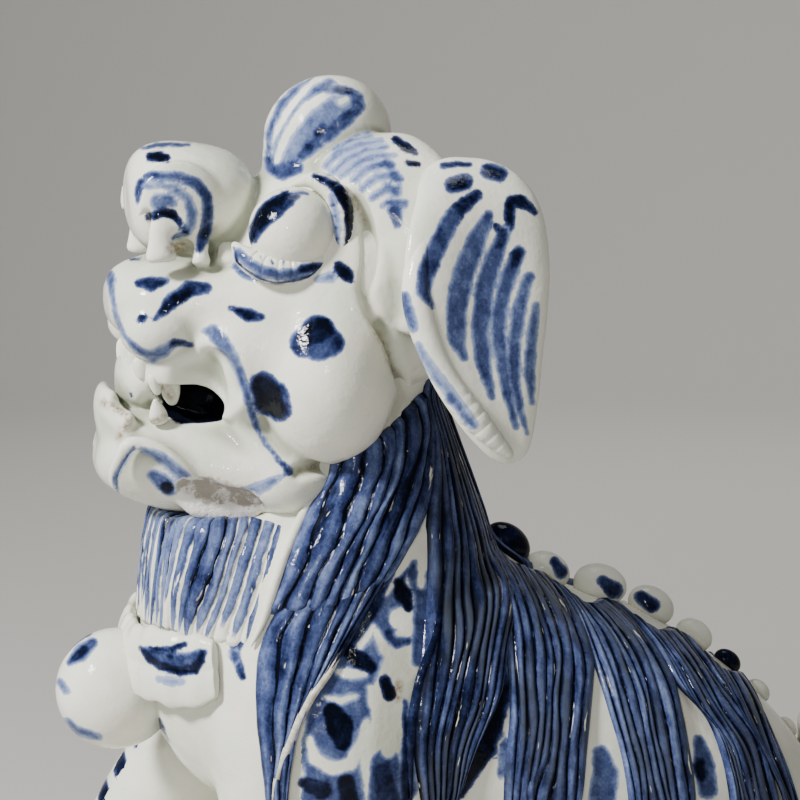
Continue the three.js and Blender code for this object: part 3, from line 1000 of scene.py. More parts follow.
def strand(
    left, right_edge, lanes, height=1.7, depth=0.36, ragged=0.08, pointed=0.03, along=130, sink=1.0,
    bulge=(9, 0, 0), tone=0.5, striped=False, wavy=1.0, sheen=0.0, columns=LANE_COLUMNS,
):
    """A combed strand: its points, its faces, and what the glaze needs to know about each point."""
    u = np.concatenate([*(k + columns for k in range(lanes)), [lanes]])
    across = len(u)
    t = np.linspace(0, 1, along)
    shares = np.cumsum(np.concatenate([[0], 0.7 + 0.6 * rng.random(lanes)]))
    share = np.interp(u, np.arange(lanes + 1), shares / shares[-1])
    share, t = np.meshgrid(share, t)
    u = np.broadcast_to(u, t.shape)
    s = 2 * share - 1
    wander = 0.2 * np.sin(6 * t + 3 * s) + 0.08 * np.sin(19 * t + 8 * s) + 0.03 * np.sin(47 * t + 17 * s)
    share = share + wavy * wander / lanes * (1 - s**8)
    a, b = evenly(edge_line(left), t[:, 0]), evenly(edge_line(right_edge), t[:, 0])
    p = a[:, None] * (1 - share[..., None]) + b[:, None] * share[..., None]
    p = p + np.sin(np.pi * share)[..., None] * np.array(bulge)
    p = body.settle(p, 8)[0]
    for _ in range(SETTLE_ROUNDS):
        p[1:-1] = 0.5 * p[1:-1] + 0.25 * (p[2:] + p[:-2])
    p, n = body.settle(p, 2)
    which = np.clip(np.floor(u), 0, lanes - 1).astype(int)
    part = u - which
    near = np.minimum(part, 1 - part)
    ends = 1 - ragged * rng.random(lanes)
    heights = 0.3 * (rng.random(lanes) - 0.5)
    depths = depth * (0.6 + 0.8 * rng.random(lanes + 1))
    edge_lane = np.clip(np.round(u), 0, lanes).astype(int)
    groove = depths[edge_lane] * np.exp(-((near / GROOVE_WIDTH) ** 2))
    groove = groove * (1 + 0.3 * np.sin(41 * t + 5 * edge_lane))
    tip = ends[which] - pointed * (2 * part - 1) ** 2
    swell = np.sqrt(np.clip(1 - np.abs(s) ** 9, 0, 1))
    close = np.sqrt(np.clip((tip - t) / 0.05, 0, 1))
    begin = np.sqrt(np.clip(t / 0.04, 0, 1))
    crown = 0.14 * (1 - (2 * part - 1) ** 2) + heights[which] + 0.15 * np.sin(9 * t + 4 * which)
    crown = crown * (depth > 0)
    rise = (height + crown + sink) * swell * close * begin - sink - groove * (swell > 0.3)
    p = p + n * rise[..., None]
    length = np.linalg.norm(np.diff(a, axis=0), axis=1).sum()
    i, j = np.meshgrid(np.arange(along - 1), np.arange(across - 1), indexing="ij")
    corner = i * across + j
    quads = np.stack([corner, corner + 1, corner + across + 1, corner + across], axis=-1).reshape(-1, 4)
    flat = p.reshape(-1, 3)
    facing = np.cross(flat[quads[:, 1]] - flat[quads[:, 0]], flat[quads[:, 3]] - flat[quads[:, 0]])
    if np.sum(facing * n.reshape(-1, 3)[quads[:, 0]]) < 0:
        quads = quads[:, ::-1]
    lane_tones = tone + (0.5 if striped else 0.2) * (rng.random(lanes) - 0.5)
    ink = np.full(t.shape, 3.0)
    if striped:
        widths = 0.6 + 0.8 * rng.random(lanes)
        stops = ends - 0.1 - 0.25 * rng.random(lanes)
        ink = 1.5 * (widths[which] - np.abs(2 * part - 1) * (1 + 0.4 * t))
        ink = ink - 8 * np.clip(t - stops[which], 0, 1)
    return {
        "points": flat, "faces": quads, "lane": u.ravel(), "run": (t * length).ravel(), "ink": ink.ravel(),
        "hair_tone": lane_tones[which].ravel(), "sheen": sheen,
    }


print("a lane has", len(LANE_COLUMNS), "columns of points")

# %% [markdown]
# Seven strands lie on each side: from the cheek, over the breast, down the neck, and four over the flank.
# One wide sheet could cover it all, but the breaks between the strands would be missing.

# %% The strands on each side
STRANDS = {
    "cheek": dict(
        left=[(330, 456), (325, 484), (302, 517), (277, 572), (262, 618)],
        right_edge=[(436, 380), (436, 430), (434, 484), (424, 520), (408, 552), (390, 582)],
        lanes=8, ragged=0.012, pointed=0.004, tone=0.7,
    ),
    "breast": dict(
        left=[(288, 590), (262, 636), (254, 700), (259, 757), (268, 830)],
        right_edge=[(394, 566), (352, 642), (320, 690), (295, 735), (274, 832)],
        lanes=7, ragged=0.04, height=1.5, tone=0.66,
    ),
    "neck": dict(
        left=[
            (429, 375), (429, 430), (429, 484), (424, 522), (423, 570), (421, 625),
            (413, 693), (411, 745), (422, 830),
        ],
        right_edge=[
            [17, 3, 206], [14, 6, 192], [12, 8, 178], [14, 12, 165], (508, 645), (500, 697),
            (478, 742), (440, 832),
        ],
        lanes=10, ragged=0.03, tone=0.84, sheen=1, bulge=(5, 3, 0),
    ),
    "flank 1": dict(
        left=[
            [4, 2, 173], (486, 560), (500, 604), (504, 650), (508, 714), (504, 760), (502, 805),
            (505, 860),
        ],
        right_edge=[[3, 20, 158.5], (572, 606), (594, 655), (593, 700), (587, 750), (582, 800), (560, 870)],
        lanes=9, tone=0.72, sheen=1,
    ),
    "flank 2": dict(
        left=[[3, 20, 158.5], (567, 604), (589, 655), (606, 706), (620, 757), (627, 800), (628, 880)],
        right_edge=[[3, 34.5, 150], (652, 643), (676, 682), (684, 714), (691, 757), (693, 830), (668, 895)],
        lanes=9, tone=0.66, sheen=1,
    ),
    "flank 3": dict(
        left=[[3, 34.5, 149.6], (648, 641), (672, 682), (703, 714), (720, 757), (729, 800), (737, 890)],
        right_edge=[[3, 49.5, 140.8], (723, 690), (757, 735), (770, 775), (780, 820), (782, 860), (767, 910)],
        lanes=8, tone=0.76, sheen=1,
    ),
    "flank 4": dict(
        left=[[3, 49.5, 140.6], (719, 688), (755, 735), (779, 779), (792, 815), (800, 860), (805, 915)],
        right_edge=[[3, 66, 130], [22, 70, 124], [34, 74, 112], [40, 76, 100], [42, 75, 88], [40, 71, 78]],
        lanes=8, tone=0.75, sheen=1,
    ),
}
print("strands on each side:", ", ".join(STRANDS))

# %% [markdown]
# The beard goes round the front in thin stripes, short hair covers the nape, and a smooth painted patch
# lies behind the breast. Each could be made in its own way. The same function with other numbers saves
# that.

# %% The beard, the nape and the painted patch
def other_side(points):
    return [[-x, y, z] for x, y, z in points]


BEARD_PLACES = [(290, 522), (284, 546), (277, 575), (269, 602), (260, 628), (252, 652)]
BEARD_EDGE = [onto(body, *place).tolist() for place in BEARD_PLACES]
NAPE_EDGE = [[20, 2, 246], [26, 6, 228], [25, 9, 205], [19, 13, 184], [10, 16, 168]]
BEARD = dict(
    left=BEARD_EDGE, right_edge=other_side(BEARD_EDGE), lanes=36, ragged=0.03, pointed=0.012,
    height=0.8, depth=0.3, bulge=(0, -24, 0), tone=0.42, striped=True, along=110, wavy=0.2,
)
NAPE = dict(
    left=NAPE_EDGE, right_edge=other_side(NAPE_EDGE), lanes=14, ragged=0.12, bulge=(0, 16, 0),
    tone=0.7, height=1.3,
)
neck_parts = [strand(**STRANDS[name]) for name in ("cheek", "breast", "neck")]
flank_parts = [strand(**STRANDS[name]) for name in ("flank 1", "flank 2", "flank 3", "flank 4")]
beard_part, nape_part = strand(**BEARD), strand(**NAPE)
patch = strand(
    left=[(418, 508), (378, 585), (336, 645), (304, 700), (282, 748), (262, 835), (252, 880)],
    right_edge=[(434, 510), (446, 560), (436, 630), (420, 693), (418, 745), (430, 832), (436, 880)],
    lanes=44, height=0.35, depth=0, ragged=0, pointed=0, columns=np.array([0, 0.5]),
)
print("the beard has", BEARD["lanes"], "lanes and the nape", NAPE["lanes"])

# %% [markdown]
# Thin white rolls edge the strands at the breast, where one sheet was pressed on the next. A bare edge
# could stand for them, but they catch the light, so each is a thin loft.

# %% White folds beside the strands
FOLDS = [
    ([(322, 480), (305, 511), (285, 554), (271, 596), (262, 624), (251, 646)], 1.1),
    ([(350, 634), (330, 670), (312, 695), (294, 733), (279, 772), (270, 812)], 0.9),
    ([(440, 545), (439, 594), (434, 637), (419, 681), (411, 731), (411, 800)], 0.9),
]
FOLD_LIFT = 1.2
fold_parts = []
for places, width in FOLDS:
    path = [onto(body, *place) + FOLD_LIFT * back for place in places]
    sizes = [0.5 * width, width, width, width, 0.6 * width]
    fold_parts.append(Loft(path, sizes, [1.1 * size for size in sizes], [1, 0, 0], 3).mesh(24, 120))
print("folds on each side:", len(fold_parts))

# %% [markdown]
# Small oval bosses run down the spine. Copies along a curve would be alike. These are set one by one,
# because the real ones differ, and each finds its own height and slope on the back.

# %% The bosses along the spine
BOSS = {"wide": 4.6, "long": 5.9, "high": 4.4, "lift": 2.2}
BOSSES = [
    (14.8, 1.0), (24.4, 0.94), (37.2, 1.08), (49.7, 0.98), (60.5, 0.8), (69, 0.6), (77, 0.55), (84.5, 0.5),
]


def ridge(y):
    """The height of the back at x = 0."""
    z = np.linspace(60, 200, 1401)
    value = body.read(np.stack([np.zeros_like(z), np.full_like(z, y), z], axis=-1))[0]
    return z[np.nonzero(value < 0)[0][-1]]


boss_parts = []
for y, size in BOSSES:
    slope = math.atan2(ridge(y + 1) - ridge(y), 1)
    half = [BOSS["wide"] * size, BOSS["long"] * size, BOSS["high"] * size]
    boss_parts.append(Ball([0, y, ridge(y) + BOSS["lift"] * size], half, [slope, 0, 0]).mesh(48, 32))
print("the spine has", len(boss_parts), "bosses")

# %% [markdown]
# The low base has two slabs with a band set back between them. A bevelled cube would do for one slab. One
# profile round a rectangle gives both slabs, the band and the worn edges.

# %% The base
BASE = {"length": 220, "width": 116, "height": 17, "foot": 5, "band": 2.5, "corner": 9}
BASE_POINTS = 400


def rounded(inset):
    """A rectangle with round corners, as points all the way round."""
    rows = []
    radius = BASE["corner"] - inset
    for k in range(4):
        turn = np.linspace(k * np.pi / 2, (k + 1) * np.pi / 2, 13)
        middle = np.array([BASE["width"] / 2 - BASE["corner"], BASE["length"] / 2 - BASE["corner"]])
        corner = middle * [(1, 1), (-1, 1), (-1, -1), (1, -1)][k]
        rows.append(corner + radius * np.stack([np.cos(turn), np.sin(turn)], axis=-1))
    points = np.vstack(rows)
    shares = np.linspace(0, 1, BASE_POINTS, endpoint=False)
    return evenly(np.vstack([points, points[:1]]), shares)


foot, top, band = BASE["foot"], BASE["height"], BASE["band"]
PROFILE = [
    (6, 0), (0.8, 0), (0.2, 0.3), (0, 0.9), (0, 2.5), (0, foot - 0.9), (0.2, foot - 0.3), (0.8, foot),
    (band - 0.6, foot), (band, foot + 0.6), (band, 8), (band, 11), (band, top - foot - 0.6),
    (band - 0.6, top - foot),
    (0.8, top - foot), (0.2, top - foot + 0.3), (0, top - foot + 0.9), (0, top - 2.5), (0, top - 1.2),
    (0.35, top - 0.35), (1.2, top), (4, top),
]
rings = [np.column_stack([rounded(inset), np.full(BASE_POINTS, z)]) for inset, z in PROFILE]
base_points = np.vstack([*rings, [[0, 0, 0], [0, 0, top]]])
base_part = (base_points, tube_faces(len(rings), BASE_POINTS))
print("the base is", BASE["length"], "by", BASE["width"], "by", BASE["height"], "mm")

# %% [markdown]
# Now every part becomes a Blender object, with parts of one kind in one piece. All could be one mesh, but
# pieces with names are easier to find and paint. They all take the place of the one solid that came in.

# %% All the pieces
def whole(part):
    return part["points"], part["faces"]


body_points, body_faces = body.skin()
make_piece("body", [(body_points, body_faces)])
make_piece("head", [(head_points, head_faces)])
make_piece("eyes", pair(eye_part))
make_piece("eyelids", [side for part in lid_parts for side in pair(part)])
make_piece("teeth", [side for part in teeth for side in pair(part)])
make_piece("ears", [side for part in ear_parts for side in pair(part)])
make_piece("bell", [bell_part])
make_piece("tab", pair(tab_part))
make_piece("bosses", boss_parts)
make_piece("base", [base_part])
make_piece("shoulders", pair(whole(patch)))
make_piece("folds", [side for part in fold_parts for side in pair(part)])
make_piece("neck_mane", [side for part in neck_parts for side in pair(whole(part))] + [whole(nape_part)])
make_piece("flank_mane", [side for part in flank_parts for side in pair(whole(part))])
make_piece("beard", [whole(beard_part)])
print("pieces:", ", ".join(made))

# %% [markdown]
# Each point of the hair carries numbers: its lane, its place along it, and how dark it is. A picture
# could hold them, but it needs unwrapping. Numbers on points are as fine as the mesh.

# %% What the hair tells the glaze
HAIR = {
    "neck_mane": [part for part in neck_parts for _ in (0, 1)] + [nape_part],
    "flank_mane": [part for part in flank_parts for _ in (0, 1)],
    "beard": [beard_part],
}


def attribute(piece, name, values):
    """One number for each point of a piece, under a name that the glaze can read."""
    layer = piece.data.attributes.new(name, "FLOAT", "POINT")
    layer.data.foreach_set("value", np.asarray(values, np.float32))


for piece_name, parts in HAIR.items():
    for name in ("lane", "run", "ink", "hair_tone"):
        attribute(made[piece_name], name, np.concatenate([part[name] for part in parts]))
    sheens = [np.full(len(part["ink"]), part["sheen"]) for part in parts]
    attribute(made[piece_name], "sheen", np.concatenate(sheens))
    attribute(made[piece_name], "hair", np.ones(len(made[piece_name].data.vertices)))
print("pieces with hair:", ", ".join(HAIR))

# %% [markdown]
# Brush marks swell and thin on their way. An image could hold them, but numbers stay sharp at any size. A
# mark is a line of dabs, places in the picture with half a width in px. Its first number is how much
# cobalt the brush held: 0 is a pale wash and 1 is almost black.

# %% Brush marks on the nose and the brow
MARKS = {}
MARKS["head"] = [
    (0.8, [(142, 148, 1.5), (158, 145, 2), (175, 144.5, 2), (190, 145, 1.5)]),
    (1.0, [(150, 157, 4.5), (158, 157, 5.5), (166, 158, 4.5)]),
    (0.85, [(137.6, 202, 2), (138, 192, 3.5), (141, 182, 4)]),
    (0.6, [(146, 177, 3.5), (153, 175, 4), (176, 176, 5), (197, 184, 6), (206, 196, 6), (208, 212, 6)]),
    (0.75, [(208, 214, 6), (206, 230, 6), (202, 241, 6), (199, 249, 4)]),
    (0.35, [
        (145, 186, 3), (161, 185.5, 3.5), (176, 189, 4.5), (188, 199, 5), (192, 212, 5.5),
        (191, 224, 5), (186, 232, 5),
    ]),
    (0.5, [(184, 234, 3), (173, 238, 2.5)]),
    (0.45, [(157, 202, 8), (168, 200, 7), (174, 204, 4)]),
    (1.0, [(149, 217, 4), (155, 215, 4.5), (163, 212, 5), (172, 214, 5), (179, 221, 3.5), (186, 233, 2)]),
    (0.9, [(122, 259.5, 1.2), (132, 259, 2.2), (140, 258, 1.5)]),
    (0.5, [(107, 262, 5), (110, 275, 5), (112, 295, 2.5), (116, 315, 2.5), (124, 336, 2.5), (139, 350, 4)]),
    (0.45, [(139, 350, 4), (152, 357, 6.5), (163, 351, 6), (175, 343, 4)]),
    (0.85, [(174, 343, 4), (183, 343, 3.5), (191, 345, 2.5)]),
    (0.8, [(138, 283, 4), (152, 283.5, 8), (166, 281, 4)]),
    (0.8, [(154, 320, 2), (170, 303, 8), (190, 289, 9), (206, 288, 6)]),
    (1.0, [(162, 311, 3), (176, 299, 4.5), (190, 290, 4)]),
    (0.8, [(141, 319.5, 4.5), (143, 318, 4.5)]),
]
print("marks on the nose and the brow:", len(MARKS["head"]))

# %% [markdown]
# Large dark spots lie on the cheek and beside the mouth. A spot could be one big dab. It is a few, with a
# darker one over them, because the brush left more cobalt in the middle.

# %% Brush marks on the cheek and the chin
MARKS["head"] += [
    (0.82, [(231, 308, 3), (248, 315, 7), (261, 317, 4)]),
    (1.0, [(238, 311, 2.5), (250, 316, 3.5)]),
    (0.72, [(304, 343, 15), (318, 334, 19), (330, 343, 15), (318, 349, 13)]),
    (0.98, [(309, 336, 10), (322, 329, 11)]),
    (0.75, [(263, 385, 14), (271, 398, 19), (280, 410, 12)]),
    (0.98, [(262, 386, 9), (269, 397, 13), (277, 408, 8)]),
    (1.0, [(130.5, 393, 0.8), (131.5, 396, 0.8)]),
    (0.4, [(203, 331, 3), (213, 332, 8), (222, 342, 8), (231, 354, 6), (240, 372, 4.5)]),
    (0.6, [(240, 372, 4.5), (247, 395, 4), (250, 408, 3.5), (256, 426, 3), (267, 445, 2.5), (283, 465, 3)]),
    (0.8, [(284, 464, 3), (288, 471, 5)]),
    (0.25, [(281, 477, 3), (268, 484, 6), (250, 492, 7), (237, 494, 5)]),
    (0.7, [(243, 514, 1.5), (254, 513, 2.5)]),
    (0.5, [(134, 447, 1.5), (122, 465, 2.5), (115, 480, 3), (117, 493, 2.5)]),
    (0.4, [(142, 449, 3), (158, 455, 5), (173, 467, 6), (186, 480, 6), (194, 486, 4)]),
    (0.45, [(153, 475, 6), (162, 482, 9), (170, 488, 8)]),
    (1.0, [(167, 488, 6)]),
]
print("marks on the head so far:", len(MARKS["head"]))

# %% [markdown]
# Short marks run below the eye, and tufts of hair are drawn beside the brow. Chance could scatter them,
# but each can be compared with the photo here, so each has its own place.

# %% Brush marks beside the eye
MARKS["head"] += [
    (0.55, [(236, 267, 4), (245, 274, 5), (256, 281, 2.5)]),
    (0.25, [(316, 280, 3), (330, 277, 6)]),
    (1.0, [(340, 268, 7), (347, 275, 7), (352, 281, 3)]),
    (0.6, [(332, 150, 1.5), (345, 142, 1.5), (358, 135, 1.5), (370, 132, 1)]),
    (0.6, [(387, 164, 6), (390, 165, 6)]),
    (0.55, [(396, 177, 6), (399, 178, 5)]),
    (0.45, [(387, 187, 6), (396, 192, 6)]),
    (0.45, [(389, 202, 4), (404, 204, 5)]),
    (0.65, [(395, 212, 8), (398, 224, 5)]),
    (1.0, [(395, 139, 3.5), (406, 147, 5), (415, 153, 3)]),
    (1.0, [(407, 162, 2.5), (418, 165, 3)]),
]
print("marks on the head:", len(MARKS["head"]))

# %% [markdown]
# The pupil is a dark curve at the upper front of the eye, and the lids have an outline with small strokes
# across. A rule could follow the edge of the lid, but the painter left it here and there.

# %% Brush marks on the eyes and the lids
MARKS["eyes"] = [
    (0.8, [(253, 239, 4), (259, 225, 8), (272, 210, 11), (286, 200, 9), (297, 195, 4)]),
    (0.95, [(257, 225, 5.5), (266, 211, 7), (279, 201, 5)]),
    (1.0, [(250, 243, 2.5), (253, 228, 4), (261, 211, 3.5), (274, 199, 3), (288, 192, 2)]),
    (0.7, [(292, 192, 1.5), (300, 193, 2), (307, 194, 1.5)]),
]
MARKS["eyelids"] = [
    (0.5, [(238, 252, 4), (247, 261, 5.5), (261, 270, 6), (277, 275, 6), (296, 273, 5.5), (308, 269, 4.5)]),
    (0.85, [(302, 268, 4), (313, 267, 5), (322, 267, 4)]),
    (1.0, [
        (234, 248, 0.8), (237, 262, 1), (250, 273, 1.4), (263, 280, 1.5), (276, 283, 1.7),
        (292, 281, 1.5),
    ]),
    (1.0, [(292, 281, 1.5), (310, 276, 1.2), (322, 270, 1)]),
    (1.0, [
        (315, 176, 3), (329, 183, 5), (342, 192, 7), (349, 208, 6), (350, 230, 4), (348, 250, 4),
        (345, 260, 6),
    ]),
    (0.4, [(331, 196, 3), (336, 214, 3.5), (337, 234, 3.5), (336, 252, 3)]),
    (0.9, [(284, 261, 0.6), (283, 266, 0.5)]),
]
LASHES = [
    ((329, 206), (334, 205)), ((331, 216), (335, 216)), ((331, 227), (336, 228)), ((332, 238), (336, 239)),
    ((260, 256), (262, 260)), ((271, 260), (273, 264)), ((295, 260), (296, 265)),
]
MARKS["eyelids"] += [(0.9, [(*first, 0.5), (*last, 0.5)]) for first, last in LASHES]
print("marks on an eye:", len(MARKS["eyes"]), "and on its lids:", len(MARKS["eyelids"]))

# %% [markdown]
# The ear has dark spots at its root and long stripes down to its tip, and three bosses got a quick dab. A
# wave pattern could make stripes, but a hand-drawn stripe changes its width.

# %% Brush marks on the ears and the bosses
MARKS["ears"] = [
    (0.8, [(443, 166, 3), (458, 164, 3), (470, 165, 2)]),
    (0.8, [(453, 185, 9), (464, 182, 9)]),
    (1.0, [(456, 186, 4), (462, 184, 4)]),
    (0.75, [(488, 171, 8), (500, 174, 8)]),
    (0.9, [(511, 200, 5), (520, 201, 7), (529, 207, 5), (535, 213, 3)]),
    (0.9, [(510, 204, 6), (510, 217, 6), (511, 227, 3.5)]),
    (0.9, [(477, 195, 6), (464, 205, 8), (452, 217, 9)]),
    (0.6, [(452, 217, 9), (439, 244, 10), (427, 272, 9.5), (423, 291, 7.5), (433, 307, 2.5)]),
    (0.52, [
        (488, 216, 6), (477, 240, 10.5), (463, 274, 11.5), (456, 310, 11), (457, 340, 9),
        (464, 358, 4),
    ]),
    (0.52, [(504, 233, 7), (494, 258, 9.5), (485, 285, 10), (480, 330, 9.5), (484, 364, 8), (492, 397, 4)]),
    (0.52, [
        (519, 252, 7), (509, 274, 8.6), (501, 303, 8), (498, 331, 8), (502, 364, 7), (508, 396, 5.5),
        (516, 427, 3),
    ]),
    (0.5, [(529, 277, 5.5), (519, 308, 7.5), (514, 353, 7), (515, 382, 6), (520, 410, 4), (527, 433, 2)]),
    (0.5, [(536, 305, 4), (531, 340, 6), (529, 372, 6), (532, 402, 3)]),
    (0.85, [(496, 226, 4), (504, 236, 4), (500, 246, 3)]),
    (0.8, [(513, 254, 4), (521, 250, 4), (514, 266, 3)]),
    (0.5, [(404, 298, 7), (408, 312, 7), (414, 328, 5)]),
    (0.3, [(418, 345, 4), (424, 358, 5)]),
    (0.2, [(427, 362, 5), (443, 384, 6), (458, 404, 6), (472, 424, 6)]),
    (0.45, [(433, 376, 3), (438, 383, 3)]),
    (0.45, [(449, 398, 4), (458, 407, 4)]),
    (0.5, [(464, 417, 4), (474, 426, 3)]),
]
MARKS["bosses"] = [
    (0.75, [(555, 562, 5), (561, 572, 7)]),
    (0.75, [(603, 581, 6), (614, 590, 9)]),
    (0.75, [(641, 597, 7), (652, 605, 8)]),
]
print("marks on an ear:", len(MARKS["ears"]))

# %% [markdown]
# The bell has a few curved strokes, and its band is dark along the folds. The dark could be found from
# the hollows of the mesh. Marks are better, because the folds were painted unevenly.

# %% Brush marks on the bell and the band
MARKS["bell"] = [
    (0.6, [(70, 662, 4), (80, 654, 8), (92, 643, 6)]),
    (0.85, [(74, 658, 3), (84, 650, 4)]),
    (0.4, [(60, 682, 4), (66, 691, 4)]),
    (0.45, [(66, 720, 3), (78, 731, 5), (98, 737, 4)]),
]
MARKS["tab"] = [
    (0.6, [(144, 650, 4), (153, 657, 8), (170, 662, 9), (188, 662, 9), (200, 654, 6)]),
    (0.95, [
        (141, 648, 3), (149, 659, 4), (161, 667, 4), (180, 672, 4), (194, 670, 5), (201, 661, 4),
        (204, 652, 3),
    ]),
    (0.9, [(150, 648, 2), (161, 650, 3), (172, 649, 3), (184, 644, 3)]),
    (1.0, [(170, 655, 3), (174, 650, 3)]),
    (0.2, [(160, 679, 4), (172, 682, 5), (183, 682, 3)]),
]
print("marks on the bell:", len(MARKS["bell"]), "and on the band:", len(MARKS["tab"]))

# %% [markdown]
# Dots run down the breast, dark shapes show between the strands, and leaves and dots fill the patch. The
# band beside the neck strand is cobalt with painted shade for the deep groove there. The patch could be a
# picture of its own, but its shapes are broad enough for the points of the mesh.

# %% Brush marks on the breast and the patch behind it
MARKS["body"] = [
    (0.9, [(231, 638, 6), (238, 644, 5)]),
    (0.6, [(234, 653, 6), (238, 663, 5)]),
    (0.85, [(240, 668, 4), (242, 677, 4)]),
    (0.85, [(158, 721, 4), (157, 727, 3)]),
    (0.9, [(144, 741, 4), (144, 751, 6), (143, 759, 4)]),
    (0.9, [(126, 766, 4), (124, 777, 7), (123, 787, 5)]),
    (0.9, [(106, 790, 5), (104, 800, 7), (103, 808, 5)]),
    (1.0, [(466, 762, 13), (485, 748, 11), (456, 788, 12)]),
    (0.7, [(508, 664, 3), (507, 684, 5), (505, 706, 6)]),
    (0.98, [(503, 690, 5), (498, 715, 8), (490, 738, 10)]),
    (0.55, [(505, 742, 5), (503, 775, 6)]),
    (0.5, [(601, 754, 9), (606, 775, 14), (602, 800, 14), (590, 820, 9)]),
    (0.55, [(699, 740, 6), (704, 765, 11), (708, 790, 10)]),
    (1.0, [(698, 766, 6), (701, 776, 6)]),
]
MARKS["shoulders"] = [
    (0.8, [(391, 572, 4), (378, 596, 7), (364, 620, 7), (352, 641, 6)]),
    (1.0, [(398, 583, 5), (404, 595, 9), (409, 607, 5)]),
    (0.75, [(388, 634, 4), (396, 643, 6), (408, 641, 4)]),
    (1.0, [(348, 651, 6), (360, 660, 9), (369, 667, 7)]),
    (1.0, [(333, 712, 9), (340, 727, 13), (343, 742, 8)]),
    (1.0, [(385, 681, 6), (389, 694, 7)]),
    # along the neck strand's edge: cobalt, and painted shade in the deep groove
    (0.8, [(431, 566, 3), (435, 582, 5)]),
    (1.0, [(438, 598, 4), (436, 628, 7), (431, 655, 6), (425, 682, 4)]),
    (0.85, [(404, 700, 2), (406, 730, 3), (405, 770, 4), (408, 800, 5)]),
    (0.9, [(304, 783, 6), (322, 790, 9)]),
    (0.95, [(346, 783, 8), (350, 805, 9)]),
    (0.8, [(383, 772, 8), (388, 800, 11)]),
]
print("marks on the body:", len(MARKS["body"]), "and on the patch:", len(MARKS["shoulders"]))

# %% [markdown]
# Before the dark marks, pale washes were laid on the topknot, the brow and the patch. A wash could be a
# second material. As a mark laid first, it can be covered by a darker one, as on the pot.

# %% Pale washes
WASHES = {
    "head": [
        (0.4, [(338, 150, 2), (350, 141, 3), (371, 137, 2)]),
        (0.3, [(325, 166, 3.5), (338, 153, 5), (359, 144, 5), (381, 141, 3)]),
        (0.3, [(332, 173, 3.5), (347, 159, 4.6), (365, 150, 4.6), (387, 147, 3)]),
        (0.3, [(341, 176, 3.5), (356, 164, 4.6), (374, 156, 4.6), (395, 155, 3)]),
        (0.3, [(353, 181, 3.5), (368, 168.5, 5), (386, 163, 5)]),
        (0.3, [(362, 189, 3.5), (377, 177, 5), (396, 174, 5)]),
        (0.35, [(372, 198, 3.5), (386, 189, 5), (398, 189, 5)]),
        (0.4, [(382, 206, 3), (391, 201, 4)]),
        (0.5, [(269, 150, 3.5), (270, 134, 5), (281, 106, 5), (299, 88, 5), (312, 81, 3)]),
        (0.42, [(276, 153, 4), (283, 134, 6), (297, 109, 6.5), (313, 92, 6.5), (330, 83, 5)]),
        (0.3, [(285, 166, 7), (297, 148, 12), (317, 126, 15), (338, 109, 14), (350, 103, 9)]),
        (0.55, [(318, 91, 3), (333, 89, 5), (345, 91, 6), (357, 99, 7), (361, 107, 5)]),
        (0.8, [(336, 90, 2.5), (348, 92, 2.5)]),
        (0.62, [(270, 160, 6), (273, 168, 8), (284, 172, 9), (297, 168, 7)]),
        (0.55, [(302, 157, 5), (318, 143, 7), (333, 131, 7), (347, 119, 7), (358, 110, 5)]),
        (0.8, [(318, 133, 3.5), (322, 129, 3)]),
        (0.75, [(344, 117, 3.5), (349, 113, 3)]),
        (0.7, [(309, 146, 4)]),
    ],
    "shoulders": [
        (0.5, [
            (404, 553, 8), (392, 582, 14), (378, 622, 20), (358, 660, 24), (338, 700, 28),
            (330, 745, 28), (330, 805, 36),
        ]),
        (0.6, [(412, 568, 9), (426, 590, 13), (424, 625, 11), (418, 660, 7)]),
        (0.6, [(386, 765, 16), (390, 805, 22)]),
        (0.5, [(362, 690, 8), (364, 718, 7)]),
        (0.45, [(404, 705, 6), (408, 740, 7), (408, 790, 10)]),
    ],
}
print("pieces with a wash:", ", ".join(WASHES))

# %% [markdown]
# Some shapes were left white inside a wash, and brown has gathered at a few places. Brown is also
# painted as shade in the gap under the nose, on the upper canine and in the crease beside the jaw's lobe.
# White could be painted on top, but over cobalt it looks chalky, so a reserve takes cobalt away. Noise
# could scatter the stains, but the real ones keep to a few places, so they are marks too.

# %% Shapes left white, brown stains, and brown painted shade
RESERVES = {
    "shoulders": [
        [(415, 541, 3), (407, 558, 5), (395, 574, 5), (385, 591, 4)],
        [(420, 546, 3), (422, 568, 4), (421, 585, 3)],
        [(400, 619, 10.5)],
        [(373, 627, 2.5), (367, 638, 4), (360, 646, 3)],
        [(375, 631, 2.5), (382, 644, 4.5), (389, 657, 4.5)],
        [(391, 656, 6), (398, 680, 9), (394, 705, 9), (384, 713, 7), (373, 704, 4), (371, 688, 3)],
        [(398, 716, 8), (395, 735, 10), (388, 750, 7)],
        [(339, 672, 3), (352, 674, 4.8), (364, 673, 3)],
        [(326, 697, 1.5), (341, 700.5, 2.6), (357, 696, 1.5)],
        [(309, 740, 3.5), (315, 759, 5.5), (332, 769, 6), (350, 764, 6), (361, 745, 5.5), (367, 722, 3.5)],
        [(291, 750, 4), (297, 775, 7), (290, 800, 9)],
    ],
    "head": [
        [(272, 143, 1.5), (279, 126, 2.6), (288, 110, 2.8), (304, 91, 2.8), (314, 80, 1.8)],
        [(277, 161, 2.5), (282, 145, 3.6), (290, 129, 4.2), (307, 106, 4.2), (323, 95, 2.5)],
        [(341, 102, 3.5), (346, 99, 2.5)],
    ],
}
